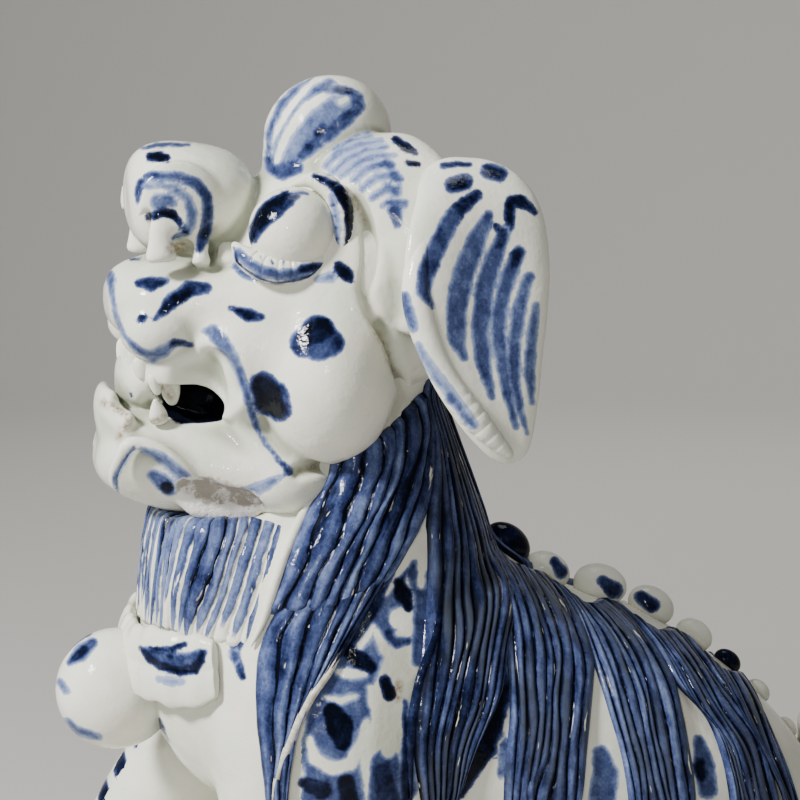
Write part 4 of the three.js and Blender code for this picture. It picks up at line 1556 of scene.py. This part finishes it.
STAINS_AND_SHADE = {
    "shoulders": [[(399, 684, 3), (397, 697, 3)], [(372, 641, 2), (376, 646, 2)]],
    "head": [
        [(354, 198, 1.5), (358, 208, 2), (365, 222, 1.5)],
        [(367, 240, 1), (369, 255, 1)],
        [(377, 334, 1.5), (384, 345, 1.5), (388, 355, 1)],
        [(388, 360, 1.2), (393, 372, 1.2)],
        # brown in the gap between the nose's legs, partly painted shade
        [(172, 248, 5), (183, 246, 4)],
        [(103, 403, 2.5), (113, 407, 3.5), (122, 412, 3), (129, 418, 2.5)],
        [(127, 424, 2.5), (123, 431, 3), (119, 438, 2)],
        [(200, 482, 2), (212, 481, 3), (228, 487, 3)],
        # the crease beside the jaw's lobe: brown dirt and painted shade
        [(300, 471, 1), (316, 466, 2.5), (331, 467, 2), (343, 462, 1.5)],
    ],
    "teeth": [
        [(150, 422, 1.5), (160, 418, 1.5), (168, 416, 1)],
        # painted shade on the upper canine, over its beige-brown
        [(160, 382, 3), (168, 388, 4), (171, 396, 3)],
    ],
}
print("shapes left white on:", ", ".join(RESERVES), "and stains on:", ", ".join(STAINS_AND_SHADE))

# %% [markdown]
# A painter casts each dab from the camera, and every point learns how deep inside the nearest mark it
# lies, in mm. One projected picture would smear where the surface turns away. So a mark reaches only
# points that face the camera near its own depth. The right side is folded over to the left first, and so
# painted alike.

# %% The painter
MISSING = -9.0
SPREAD = 0.1
LEAK = 8
SIDE_MARGIN = 30
BARELY_AWAY = -0.1
PULLS = (0, 0.05, 0.1, 0.2, 0.4)


class Painter:
    """Lays brush marks on one piece, and the same on the other side of the lion."""

    def __init__(self, piece):
        count = len(piece.data.vertices)
        flat = np.empty(count * 3, np.float32)
        piece.data.vertices.foreach_get("co", flat)
        self.points = flat.reshape(-1, 3) * 1000.0
        piece.data.vertices.foreach_get("normal", flat)
        fold = np.where(self.points[:, :1] < 0, [-1, 1, 1], [1, 1, 1])
        self.folded = self.points * fold
        towards = unit(eye_point - self.folded)
        self.facing = np.sum(flat.reshape(-1, 3) * fold * towards, axis=1) > BARELY_AWAY
        self.view, self.scale = self.viewed(self.folded)
        faces = [tuple(f.vertices) for f in piece.data.polygons]
        self.tree = BVHTree.FromPolygons(self.points.tolist(), faces)
        self.ink = np.full(count, MISSING)
        self.tone, self.stain_and_shade, self.chip = np.zeros((3, count))

    def viewed(self, points):
        """Places in the picture with the depth in mm as a third number, and the px in a mm."""
        across, down, scale = picture_place(points)
        return np.column_stack([across, down, -(points - eye_point) @ back]), scale

    def land(self, across, down):
        """Where a place in the picture meets the piece, or nothing beside it."""
        spot = self.tree.ray_cast(eye_point.tolist(), unit(line_of_sight(across, down)).tolist())[0]
        return None if spot is None else np.array(spot)

    def depth_in(self, mark):
        """How far inside a mark each point lies as seen from the camera, in mm."""
        spots, halves = [], []
        middle = np.mean([m[:2] for m in mark], axis=0)
        for across, down, half in mark:
            for pull in PULLS:
                spot = self.land(*(np.array([across, down]) * (1 - pull) + middle * pull))
                if spot is not None:
                    spots.append(spot)
                    halves.append(half)
                    break
        best = np.full(len(self.points), MISSING)
        if not spots:
            return best
        spots = np.array(spots)
        spots[:, 0] = np.abs(spots[:, 0])
        line = self.viewed(spots)[0]
        margin = np.array([SIDE_MARGIN, SIDE_MARGIN, LEAK])
        above_low = np.all(self.view > line.min(axis=0) - margin, axis=1)
        below_high = np.all(self.view < line.max(axis=0) + margin, axis=1)
        near = self.facing & above_low & below_high
        q = self.view[near]
        found = np.full(len(q), MISSING)
        for k in range(max(1, len(line) - 1)):
            a, ra = line[k], halves[k]
            b, rb = line[min(k + 1, len(line) - 1)], halves[min(k + 1, len(line) - 1)]
            run = (b - a)[:2]
            share = np.clip((q - a)[:, :2] @ run / max(run @ run, 1e-9), 0, 1)
            offset = q - a - share[:, None] * (b - a)
            deep = ra + (rb - ra) * share - np.linalg.norm(offset[:, :2], axis=1)
            found = np.maximum(found, np.where(np.abs(offset[:, 2]) < LEAK, deep, MISSING))
        best[near] = found / self.scale[near]
        return best

    def mark(self, tone, mark):
        """Cobalt of a tone, which covers what lies under it."""
        deep = self.depth_in(mark) + SPREAD
        cover = np.clip((deep + 0.3) / 0.6, 0, 1)
        cover = np.where(self.ink < -0.5, deep > -1.5, cover)
        self.tone += (tone - self.tone) * cover
        self.ink = np.maximum(self.ink, deep)

    def reserve(self, mark):
        """A shape where the cobalt is left away."""
        self.ink = np.minimum(self.ink, -self.depth_in(mark))

    def soil_and_shade(self, mark):
        """A brown stain."""
        # Brown, for stains and for shade painted into a few creases and gaps.
        self.stain_and_shade = np.maximum(self.stain_and_shade, np.clip(self.depth_in(mark) + 0.7, 0, 1))


print("a mark reaches", LEAK, "mm in front of its line and behind it")

# %% [markdown]
# Each piece is painted in the real order: washes, shapes left white, dark marks, stains and painted shade.
# One pass would be shorter, but a dark mark has to lie over a wash. Hair and base have rules of their own.

# %% Painting the pieces
painters = {}
for name, piece in made.items():
    if name in HAIR or name == "base":
        continue
    painter = Painter(piece)
    for tone, mark in WASHES.get(name, []):
        painter.mark(tone, mark)
    for mark in RESERVES.get(name, []):
        painter.reserve(mark)
    for tone, mark in MARKS.get(name, []):
        painter.mark(tone, mark)
    for mark in STAINS_AND_SHADE.get(name, []):
        painter.soil_and_shade(mark)
    painters[name] = painter
print("painted:", ", ".join(painters))

# %% [markdown]
# The inside of the mouth is painted near-black as shade and dirt, deeper in than a mark is cast. It could
# be left to shade, but white glaze throws light back even there, so an oval is filled as far in as the
# mouth goes.

# %% The painted shade inside the mouth
MOUTH_MIDDLE = np.array([201, 404])
MOUTH_HALF = np.array([39, 25])
MOUTH_HALF_WIDTH = 15.5
MOUTH_Y = -52
MOUTH_REACH = 20
MOUTH_SHADE_TONE = 1.2
jaws = painters["head"]
offset = (jaws.view[:, :2] - MOUTH_MIDDLE) / MOUTH_HALF
ring = np.hypot(offset[:, 0], offset[:, 1])
dark = np.minimum(5 * (1 - ring), MOUTH_HALF_WIDTH - jaws.folded[:, 0])
dark = np.where(np.abs(jaws.folded[:, 1] - MOUTH_Y) < MOUTH_REACH, dark, MISSING)
# Painted shade: the inside of the mouth is near-black.
jaws.tone = np.where(dark > -0.5, MOUTH_SHADE_TONE, jaws.tone)
jaws.ink = np.maximum(jaws.ink, dark)
print("points in the dark of the mouth:", int(np.sum(dark > 0)))

# %% [markdown]
# The chip shows bare clay with a pale rim. A texture would not follow the cut. The forms that cut the
# chip tell which points lie in it, so colour and shape agree. It is on the left side alone.

# %% The bare clay of the chip
RIM_MIDDLE = 218
RIM_HALF = 41
for form in chips:
    jaws.chip = np.maximum(jaws.chip, np.clip((0.6 - form.distance(jaws.points)) / 0.25, 0, 1))
rim = np.clip((0.5 - chip_rim.distance(jaws.points)) / 0.3, 0, 1)
rim = rim * (np.abs(jaws.view[:, 0] - RIM_MIDDLE) < RIM_HALF)
jaws.chip = np.where(jaws.points[:, 0] > 0, np.maximum(jaws.chip, rim), 0)
jaws.tone = np.where(jaws.chip > 0.2, rim, jaws.tone)
print("points of bare clay:", int(np.sum(jaws.chip > 0.5)))

# %% [markdown]
# Legs, haunches and tail are below the picture, and are painted as such lions often are. Their marks
# can't be cast from the camera, so they are given in mm: a dab round a place, and a stroke that settles
# on the clay.

# %% A dab and a stroke
STROKE_POINTS = 60
rest = painters["body"]


def dab(painter, place, half, tone):
    """A drop of cobalt round a place in mm."""
    deep = (1 - np.linalg.norm((painter.points - place) / half, axis=1)) * min(half)
    painter.tone = np.where((deep > painter.ink) & (deep > -0.8), tone, painter.tone)
    painter.ink = np.maximum(painter.ink, deep)


def stroke(painter, path, half, tone):
    """A brush line along places in mm, thin at both ends."""
    line = body.settle(evenly(smooth_line(path), np.linspace(0, 1, STROKE_POINTS)))[0]
    widths = half * np.sin(np.pi * np.linspace(0.06, 0.94, STROKE_POINTS)) ** 0.5
    above_low = np.all(painter.points > line.min(axis=0) - 5, axis=1)
    near = above_low & np.all(painter.points < line.max(axis=0) + 5, axis=1)
    gaps = np.linalg.norm(painter.points[near][:, None] - line, axis=2) - widths
    deep = np.full(len(painter.points), MISSING)
    deep[near] = -gaps.min(axis=1)
    painter.tone = np.where((deep > painter.ink) & (deep > -0.8), tone, painter.tone)
    painter.ink = np.maximum(painter.ink, deep)


print("painted points of the body so far:", int(np.sum(rest.ink > 0)))

# %% [markdown]
# Dots run down each foreleg, and lines part the toes. They could be placed one by one. They are spaced
# evenly along the leg and round the paw, and then settle on the clay.

# %% Dots on the forelegs and lines between the toes
DOTS = 9
LAST_DOT = 0.84
for leg, side, first in ((right_foreleg, -1, 0.38), (left_foreleg, 1, 0.25)):
    for share in np.linspace(first, LAST_DOT, DOTS):
        centre = leg.stand(np.array([share]))[0][0]
        dab(rest, body.settle(centre + [4 * side, -12, 0])[0], [1.9, 1.9, 2.9], 0.85)
for x, y in ((28, -53), (-26, -87)):
    for turn in (-45, 0, 45):
        edge = [x + 13 * math.sin(math.radians(turn)), y - 17 * math.cos(math.radians(turn)), 27]
        dab(rest, body.settle(np.array(edge))[0], [1.3, 3, 5.5], 0.6)
print("painted points after the legs:", int(np.sum(rest.ink > 0)))

# %% [markdown]
# Each haunch has a spiral with four strokes before it, and stripes run down the tail. A hand could draw
# them. A spiral is a circle whose radius grows, so a rule draws it better.

# %% Spirals on the haunches and stripes on the tail
SPIRAL = {"x": 62, "y": 52, "z": 68, "turns": 1.65, "inner": 3, "growth": 17}
STRIPES = (-0.75, -0.5, -0.25, 0, 0.25, 0.5, 0.75)
STRIPE_PLACES = np.linspace(0.12, 0.93, 12)
turns = np.linspace(0, SPIRAL["turns"] * 2 * np.pi, 40)
reach = SPIRAL["inner"] + SPIRAL["growth"] * turns / turns[-1]
for side in (-1, 1):
    curl = [
        [side * SPIRAL["x"], SPIRAL["y"] + r * math.cos(a), SPIRAL["z"] + r * math.sin(a)]
        for a, r in zip(turns, reach)
    ]
    stroke(rest, curl, 1.5, 0.6)
    for k in range(4):
        low = 92 - 17 * k
        start, middle, end = [58, 22 - 2 * k, low], [60, 13 - 3 * k, low - 7], [58, 0 - 3 * k, low - 9]
        stroke(rest, [[side * x, y, z] for x, y, z in (start, middle, end)], 1.2, 0.6)
spots, aside, out, _ = tail.stand(STRIPE_PLACES)
wide = station(tail.wide, STRIPE_PLACES)[:, None]
for share in STRIPES:
    stroke(rest, spots + aside * wide * share + out * 9, 1.1, 0.55)
print("painted points after the haunches and the tail:", int(np.sum(rest.ink > 0)))

# %% [markdown]
# Two bosses and one fold are dark all over, and one fold is stained. Marks could cover them, but a whole
# part is easier to find by its points, which come in the order in which the parts were made.

# %% Whole parts in one tone
DARK_BOSSES = (0, 5)
boss = painters["bosses"]
for i in DARK_BOSSES:
    count = len(boss_parts[i][0])
    boss.ink[i * count:(i + 1) * count] = 3
    boss.tone[i * count:(i + 1) * count] = 0.95
rims = painters["folds"]
count = len(fold_parts[0][0])
rims.ink[4 * count:] = 2
rims.tone[4 * count:] = 0.85
rims.stain_and_shade[2 * count:4 * count] = 0.6
print("points in each fold:", count)

# %% [markdown]
# The painting goes onto the points of each piece. Glaze also gathers in creases, and the creases are
# painted darker as shade too. Blender's pointiness would show them only in a render, so the clay itself is
# felt round each point.

# %% What the other pieces tell the glaze
BASE_BAND_Z = 8.5
BASE_EDGE_Z = 14.8
BASE_TONE = 0.45
for name, painter in painters.items():
    attribute(made[name], "ink", np.clip(painter.ink, -3, 6))
    attribute(made[name], "tone", painter.tone)
    attribute(made[name], "stain_and_shade", painter.stain_and_shade)
    attribute(made[name], "chip", painter.chip)
# How deep in a crease each point lies, for pooled glaze and painted shade.
attribute(made["head"], "crease", head.hollows(head_points, 20, 0.34))
# A band down the patch is mixed towards the crease colour.
greyed_patch = painters["shoulders"].depth_in([(394, 650, 16), (398, 700, 20), (392, 752, 18)])
attribute(made["shoulders"], "crease", 0.6 * np.clip(0.5 + 0.5 * greyed_patch, 0, 1))
attribute(made["body"], "crease", body.hollows(body_points, 8, 0.8))
base_z = np.asarray(base_points)[:, 2]
base_band = 1.1 - np.abs(base_z - BASE_BAND_Z) * 0.5
base_edge = 0.5 - np.abs(base_z - BASE_EDGE_Z)
attribute(made["base"], "ink", np.maximum(base_band, base_edge))
attribute(made["base"], "tone", np.full(len(base_z), BASE_TONE))
print("painted points of the base:", int(np.sum(np.maximum(base_band, base_edge) > 0)))

# %% [markdown]
# The whole lion has one glaze, so it is one material. It could be built in the node editor. A few short
# functions say the same in text, and show how one value is made from another.

# %% Short ways to add nodes
class Graph:
    """Short ways to add nodes to a material."""

    def __init__(self, name):
        self.material = bpy.data.materials.new(name)
        self.material.use_nodes = True
        self.nodes = self.material.node_tree.nodes
        self.links = self.material.node_tree.links
        self.shader = self.nodes["Principled BSDF"]

    def set(self, socket, value):
        if isinstance(value, bpy.types.NodeSocket):
            self.links.new(value, socket)
        else:
            socket.default_value = value

    def attribute(self, name):
        node = self.nodes.new("ShaderNodeAttribute")
        node.attribute_name = name
        return node.outputs["Fac"]

    def math(self, kind, a, b=0.0):
        node = self.nodes.new("ShaderNodeMath")
        node.operation = kind
        self.set(node.inputs[0], a)
        self.set(node.inputs[1], b)
        return node.outputs[0]

    def inverse(self, value):
        """1 where the value is 0, and the other way round."""
        return self.math("SUBTRACT", 1.0, value)

    def sway(self, wave, strength):
        """A noise from 0 to 1, made to sway round 0."""
        return self.math("MULTIPLY", self.math("SUBTRACT", wave, 0.5), strength)

    def span(self, value, low, high):
        """0 at low, 1 at high, with a soft start and end."""
        node = self.nodes.new("ShaderNodeMapRange")
        node.interpolation_type = "SMOOTHSTEP"
        self.set(node.inputs["Value"], value)
        node.inputs["From Min"].default_value = low
        node.inputs["From Max"].default_value = high
        return node.outputs["Result"]

    def noise(self, scale, detail=2.0, rough=0.5, vector=None):
        node = self.nodes.new("ShaderNodeTexNoise")
        node.inputs["Scale"].default_value = scale
        node.inputs["Detail"].default_value = detail
        node.inputs["Roughness"].default_value = rough
        if vector is not None:
            self.links.new(vector, node.inputs["Vector"])
        else:
            self.links.new(self.place, node.inputs["Vector"])
        return node.outputs["Fac"]

    def combine(self, x, y, z=0.0):
        node = self.nodes.new("ShaderNodeCombineXYZ")
        for k, value in enumerate((x, y, z)):
            self.set(node.inputs[k], value)
        return node.outputs[0]

    def ramp(self, value, stops):
        node = self.nodes.new("ShaderNodeValToRGB")
        self.links.new(value, node.inputs["Fac"])
        points = node.color_ramp.elements
        while len(points) < len(stops):
            points.new(0.5)
        for point, (at, colour) in zip(points, stops):
            point.position = at
            point.color = (*colour, 1)
        return node.outputs["Color"]

    def mix(self, share, a, b):
        node = self.nodes.new("ShaderNodeMix")
        node.data_type = "RGBA"
        self.set(node.inputs["Factor"], share)
        for socket, value in ((node.inputs[6], a), (node.inputs[7], b)):
            self.set(socket, (*value, 1) if isinstance(value, tuple) else value)
        return node.outputs[2]


g = Graph("glazed porcelain")
coordinates = g.nodes.new("ShaderNodeTexCoord")
g.place = coordinates.outputs["Object"]
print("the material starts with", len(g.nodes), "nodes")

# %% [markdown]
# The white is warm, and greenish where the glaze is thick, with painted shade in the creases. Cobalt
# goes from grey-blue to almost black.
# One blue mixed with white would look like enamel: real cobalt is greyer when thin and darker when thick.

# %% The colours
WHITE = (0.80, 0.795, 0.685)
COOL = (0.66, 0.67, 0.57)
POOL_AND_SHADE = (0.34, 0.36, 0.27)
WARM = (0.80, 0.72, 0.58)
BROWN_STAIN_AND_SHADE = (0.16, 0.08, 0.025)
CLAY = (0.33, 0.30, 0.255)
SHEEN_GREY = (0.13, 0.155, 0.205)
COBALT = [
    (0.0, (0.28, 0.34, 0.49)),
    (0.3, (0.125, 0.165, 0.305)),
    (0.5, (0.052, 0.072, 0.170)),
    (0.7, (0.018, 0.026, 0.076)),
    (0.85, (0.005, 0.008, 0.028)),
    (1.0, (0.002, 0.003, 0.007)),
]
SPECK = (0.12, 0.08, 0.05)
BARE_RIM = (0.74, 0.71, 0.67)
print("cobalt has", len(COBALT), "tones")

# %% [markdown]
# Cobalt runs a little and dries in blotches. A blurred edge would look out of focus, so noise is added to
# how deep a point lies in its mark, which frays the edge, and to the tone, which makes the blotches.

# %% Cobalt under the brush
blotch = g.noise(260, 3, 0.6)
grain = g.noise(1500, 3, 0.7)
cloud = g.noise(45, 2, 0.5)
ink = g.math("ADD", g.attribute("ink"), g.sway(g.noise(420, 3, 0.6), 1.1))
cover = g.span(ink, -0.25, 0.25)
deep = g.span(ink, -0.1, 1.0)
amount = g.math("ADD", g.attribute("tone"), g.sway(blotch, 0.8))
amount = g.math("ADD", amount, g.sway(grain, 0.35))
amount = g.math("ADD", amount, g.math("MULTIPLY", g.math("SUBTRACT", deep, 1.0), 0.45))
print("nodes so far:", len(g.nodes))

# %% [markdown]
# In the hair the cobalt ran off the ridges into the grooves. A wave texture would have the same lines
# everywhere. Lines and streaks follow the lane and the run of each point instead, and noise breaks them
# up. The middle of each lane is lighter and some streaks are white: thinner cobalt and bare glaze, and
# painted light on the rounded ridges.

# %% Cobalt in the hair
lane, run, hair = g.attribute("lane"), g.attribute("run"), g.attribute("hair")
part = g.math("FRACT", lane)
near = g.math("MINIMUM", part, g.inverse(part))


def along_hair(across, down, seed):
    """A place for noise that is stretched along the hair. The seed keeps two such noises apart."""
    return g.combine(g.math("MULTIPLY", lane, across), g.math("MULTIPLY", run, down), seed)


broken = g.span(g.noise(1.0, 2, 0.5, along_hair(3.0, 0.3, 7.0)), 0.3, 0.5)
line = g.math("MULTIPLY", g.inverse(g.span(near, 0.01, 0.12)), broken)
streak = g.noise(1.0, 3, 0.6, along_hair(1.7, 0.09, 0.0))
wide_streak = g.noise(1.0, 2, 0.5, along_hair(0.6, 0.05, 3.0))
hair_amount = g.math("ADD", g.attribute("hair_tone"), g.math("MULTIPLY", line, 0.6))
# Lighter lane middles: thinner cobalt, and painted light on the rounded ridges.
hair_amount = g.math("SUBTRACT", hair_amount, g.math("MULTIPLY", g.span(near, 0.1, 0.5), 0.16))
for wave, share in ((streak, 0.9), (wide_streak, 0.6), (blotch, 0.6), (grain, 0.4)):
    hair_amount = g.math("ADD", hair_amount, g.sway(wave, share))
# White streaks: bare glaze, and painted highlights on the ridges.
bare_and_lit_ridge = g.span(g.math("SUBTRACT", streak, g.math("MULTIPLY", line, 0.3)), 0.67, 0.73)
print("nodes so far:", len(g.nodes))

# %% [markdown]
# The two kinds of cobalt become one colour. The ridges of the dark hair on the neck and flanks get a
# grey-blue painted sheen. A clear coat could give it, but would also change the glints.

# %% The colour of the cobalt
in_hair = g.math("MULTIPLY", hair_amount, hair)
elsewhere = g.math("MULTIPLY", amount, g.inverse(hair))
total_amount = g.math("ADD", in_hair, elsewhere)
total_cover = g.math("MULTIPLY", cover, g.inverse(g.math("MULTIPLY", bare_and_lit_ridge, hair)))
cobalt = g.ramp(total_amount, COBALT)
# Painted sheen: grey-blue on the ridges of the neck and flank hair.
painted_sheen = g.math("MULTIPLY", g.attribute("sheen"), g.span(wide_streak, 0.38, 0.6))
painted_sheen = g.math("MULTIPLY", painted_sheen, g.math("MULTIPLY", g.span(near, 0.08, 0.35), 0.36))
cobalt = g.mix(painted_sheen, cobalt, SHEEN_GREY)
print("nodes so far:", len(g.nodes))

# %% [markdown]
# Under the cobalt lies the pot, which is not one white. An even colour would look like plastic. Large
# soft noise makes cool and warm clouds, and fine noise with a high threshold leaves only specks.

# %% The white pot and its specks
pot = g.mix(g.span(cloud, 0.35, 0.7), WHITE, COOL)
pot = g.mix(g.math("MULTIPLY", g.span(g.noise(70, 3, 0.6), 0.55, 0.75), 0.35), pot, WARM)
# Creases turn dark green-grey: pooled glaze and painted shade.
pot = g.mix(g.math("MULTIPLY", g.attribute("crease"), 0.9), pot, POOL_AND_SHADE)
specks = g.math("MULTIPLY", g.span(g.noise(2600, 1, 0.5), 0.74, 0.78), 0.5)
pot = g.mix(specks, pot, SPECK)
painted = g.mix(total_cover, pot, cobalt)
print("nodes so far:", len(g.nodes))

# %% [markdown]
# Stains and the brown painted shade hardly show over dark paint, and a chip is bare clay with a pale rim.
# Both could be decals. As a mix of colours, they keep to the points that were marked.

# %% Stains, painted shade and bare clay
patchy = g.math("ADD", 0.25, g.math("MULTIPLY", g.span(g.noise(700, 3, 0.7), 0.38, 0.62), 0.55))
stain_and_shade = g.math("MULTIPLY", g.attribute("stain_and_shade"), patchy)
stain_and_shade = g.math("MULTIPLY", stain_and_shade, g.inverse(g.math("MULTIPLY", total_cover, 0.85)))
chip = g.attribute("chip")
pale_amount = g.math("ADD", g.noise(260, 4, 0.7), g.math("MULTIPLY", g.attribute("tone"), 0.24))
bare = g.mix(g.span(pale_amount, 0.48, 0.62), CLAY, BARE_RIM)
surface = g.mix(chip, g.mix(stain_and_shade, painted, BROWN_STAIN_AND_SHADE), bare)
print("nodes so far:", len(g.nodes))

# %% [markdown]
# The glaze is smooth, with a slight unevenness that makes its glints wobble. Its reflections are weak in
# the photo, so the index of refraction is low. The unevenness could be relief, but it is finer than the
# mesh, so it is a bump.

# %% The surface of the glaze
GLAZE_ROUGHNESS = 0.06
GLAZE_IOR = 1.2
BUMP_STRENGTH = 0.35
BUMP_DISTANCE = 0.0005
roughness = g.math("ADD", g.math("MULTIPLY", chip, 0.6), g.math("MULTIPLY", blotch, 0.05))
roughness = g.math("ADD", GLAZE_ROUGHNESS, roughness)
g.set(g.shader.inputs["Base Color"], surface)
g.set(g.shader.inputs["Roughness"], roughness)
g.set(g.shader.inputs["IOR"], GLAZE_IOR)
bump = g.nodes.new("ShaderNodeBump")
bump.inputs["Strength"].default_value = BUMP_STRENGTH
bump.inputs["Distance"].default_value = BUMP_DISTANCE
fine = g.math("MULTIPLY", g.noise(1200, 2, 0.6), g.math("ADD", 0.28, g.math("MULTIPLY", chip, 1.6)))
g.set(bump.inputs["Height"], g.math("ADD", g.noise(330, 2, 0.5), fine))
g.set(g.shader.inputs["Normal"], bump.outputs["Normal"])
for piece in made.values():
    piece.data.materials.append(g.material)
print("the glaze has", len(g.nodes), "nodes")

# %% [markdown]
# The lion stands on pale paper. A flat sheet with an upright one behind would do for one view, but its
# corner shows from another side. A sweep that curves up all round looks the same from everywhere.

# %% The sweep
SWEEP = {"flat": 1.4, "bend": 0.9, "top": 2.2, "steps": 16, "around": 96}
PAPER = (0.5, 0.487, 0.457, 1)
PAPER_ROUGHNESS = 0.9
sweep_turn = np.linspace(0, 2 * np.pi, SWEEP["around"], endpoint=False)
sweep_rings = [(0.2, 0), (SWEEP["flat"], 0)]
for k in range(1, SWEEP["steps"] + 1):
    bend = 0.5 * np.pi * k / SWEEP["steps"]
    reach, rise = SWEEP["bend"] * np.sin(bend), SWEEP["bend"] * (1 - np.cos(bend))
    sweep_rings.append((SWEEP["flat"] + reach, rise))
sweep_rings.append((SWEEP["flat"] + SWEEP["bend"], SWEEP["top"]))
sweep_points = [(r * np.cos(a), r * np.sin(a), z) for r, z in sweep_rings for a in sweep_turn]
sweep_points.append((0, 0, 0))
n = SWEEP["around"]
sweep_faces = [
    (i * n + j, (i + 1) * n + j, (i + 1) * n + (j + 1) % n, i * n + (j + 1) % n)
    for i in range(len(sweep_rings) - 1) for j in range(n)
] + [(j, (j + 1) % n, len(sweep_points) - 1) for j in range(n)]
floor = bpy.data.objects.new("floor", bpy.data.meshes.new("floor"))
floor.data.from_pydata(sweep_points, [], sweep_faces)
floor.data.polygons.foreach_set("use_smooth", [True] * len(floor.data.polygons))
bpy.context.collection.objects.link(floor)
floor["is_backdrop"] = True
paper = bpy.data.materials.new("paper")
paper.use_nodes = True
paper.node_tree.nodes["Principled BSDF"].inputs["Base Color"].default_value = PAPER
paper.node_tree.nodes["Principled BSDF"].inputs["Roughness"].default_value = PAPER_ROUGHNESS
floor.data.materials.append(paper)
print("the sweep has", len(sweep_faces), "faces")

# %% [markdown]
# One lamp from the upper left makes the shade, and small ones near the camera give the glints. Sunlight
# would be simpler, but glaze shows the size of each lamp. A little even light from all round keeps the
# shade from going black.

# %% The lamps and the room
def lamp(name, across, up, out, power, size, aim=(0, 0, 0)):
    """A lamp, placed and aimed as seen from the camera, in m from the middle of the picture."""
    light = bpy.data.objects.new(name, bpy.data.lights.new(name, "AREA"))
    light.data.energy = power
    light.data.size = size
    axes = np.array([right, above, back])
    light.location = VIEW_TARGET * MM + np.array([across, up, out]) @ axes
    turn = mathutils.Vector((np.array(aim) - [across, up, out]) @ axes)
    light.rotation_mode = "QUATERNION"
    light.rotation_quaternion = turn.to_track_quat("-Z", "Y")
    bpy.context.collection.objects.link(light)


LAMPS = {
    "key": dict(across=-0.7, up=0.55, out=0.5, power=22.5, size=0.15),
    "near": dict(across=-0.16, up=0.1, out=0.8, power=1.3, size=0.042),
    "low": dict(across=-0.1, up=-0.12, out=0.8, power=0.45, size=0.024),
    "side": dict(across=0.25, up=0.3, out=0.8, power=0.4, size=0.022),
    "top": dict(across=0.1, up=1.1, out=-0.1, power=4, size=0.5),
    "wall": dict(across=0.2, up=1.0, out=-0.7, power=10, size=0.5, aim=(0.5, 0.3, -2.2)),
}
for name, place in LAMPS.items():
    lamp(name, **place)
ROOM_LIGHT = 0.05
world = bpy.data.worlds.new("studio")
bpy.context.scene.world = world
world.use_nodes = True
world.node_tree.nodes["Background"].inputs["Color"].default_value = (1.0, 1.0, 1.0, 1)
world.node_tree.nodes["Background"].inputs["Strength"].default_value = ROOM_LIGHT
print("lamps:", ", ".join(LAMPS))

# %% [markdown]
# The bounds of the finished lion are taken at the end.

# %% The size, and the end
print("pieces in the end:", len(made), "and a floor")
low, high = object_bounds()
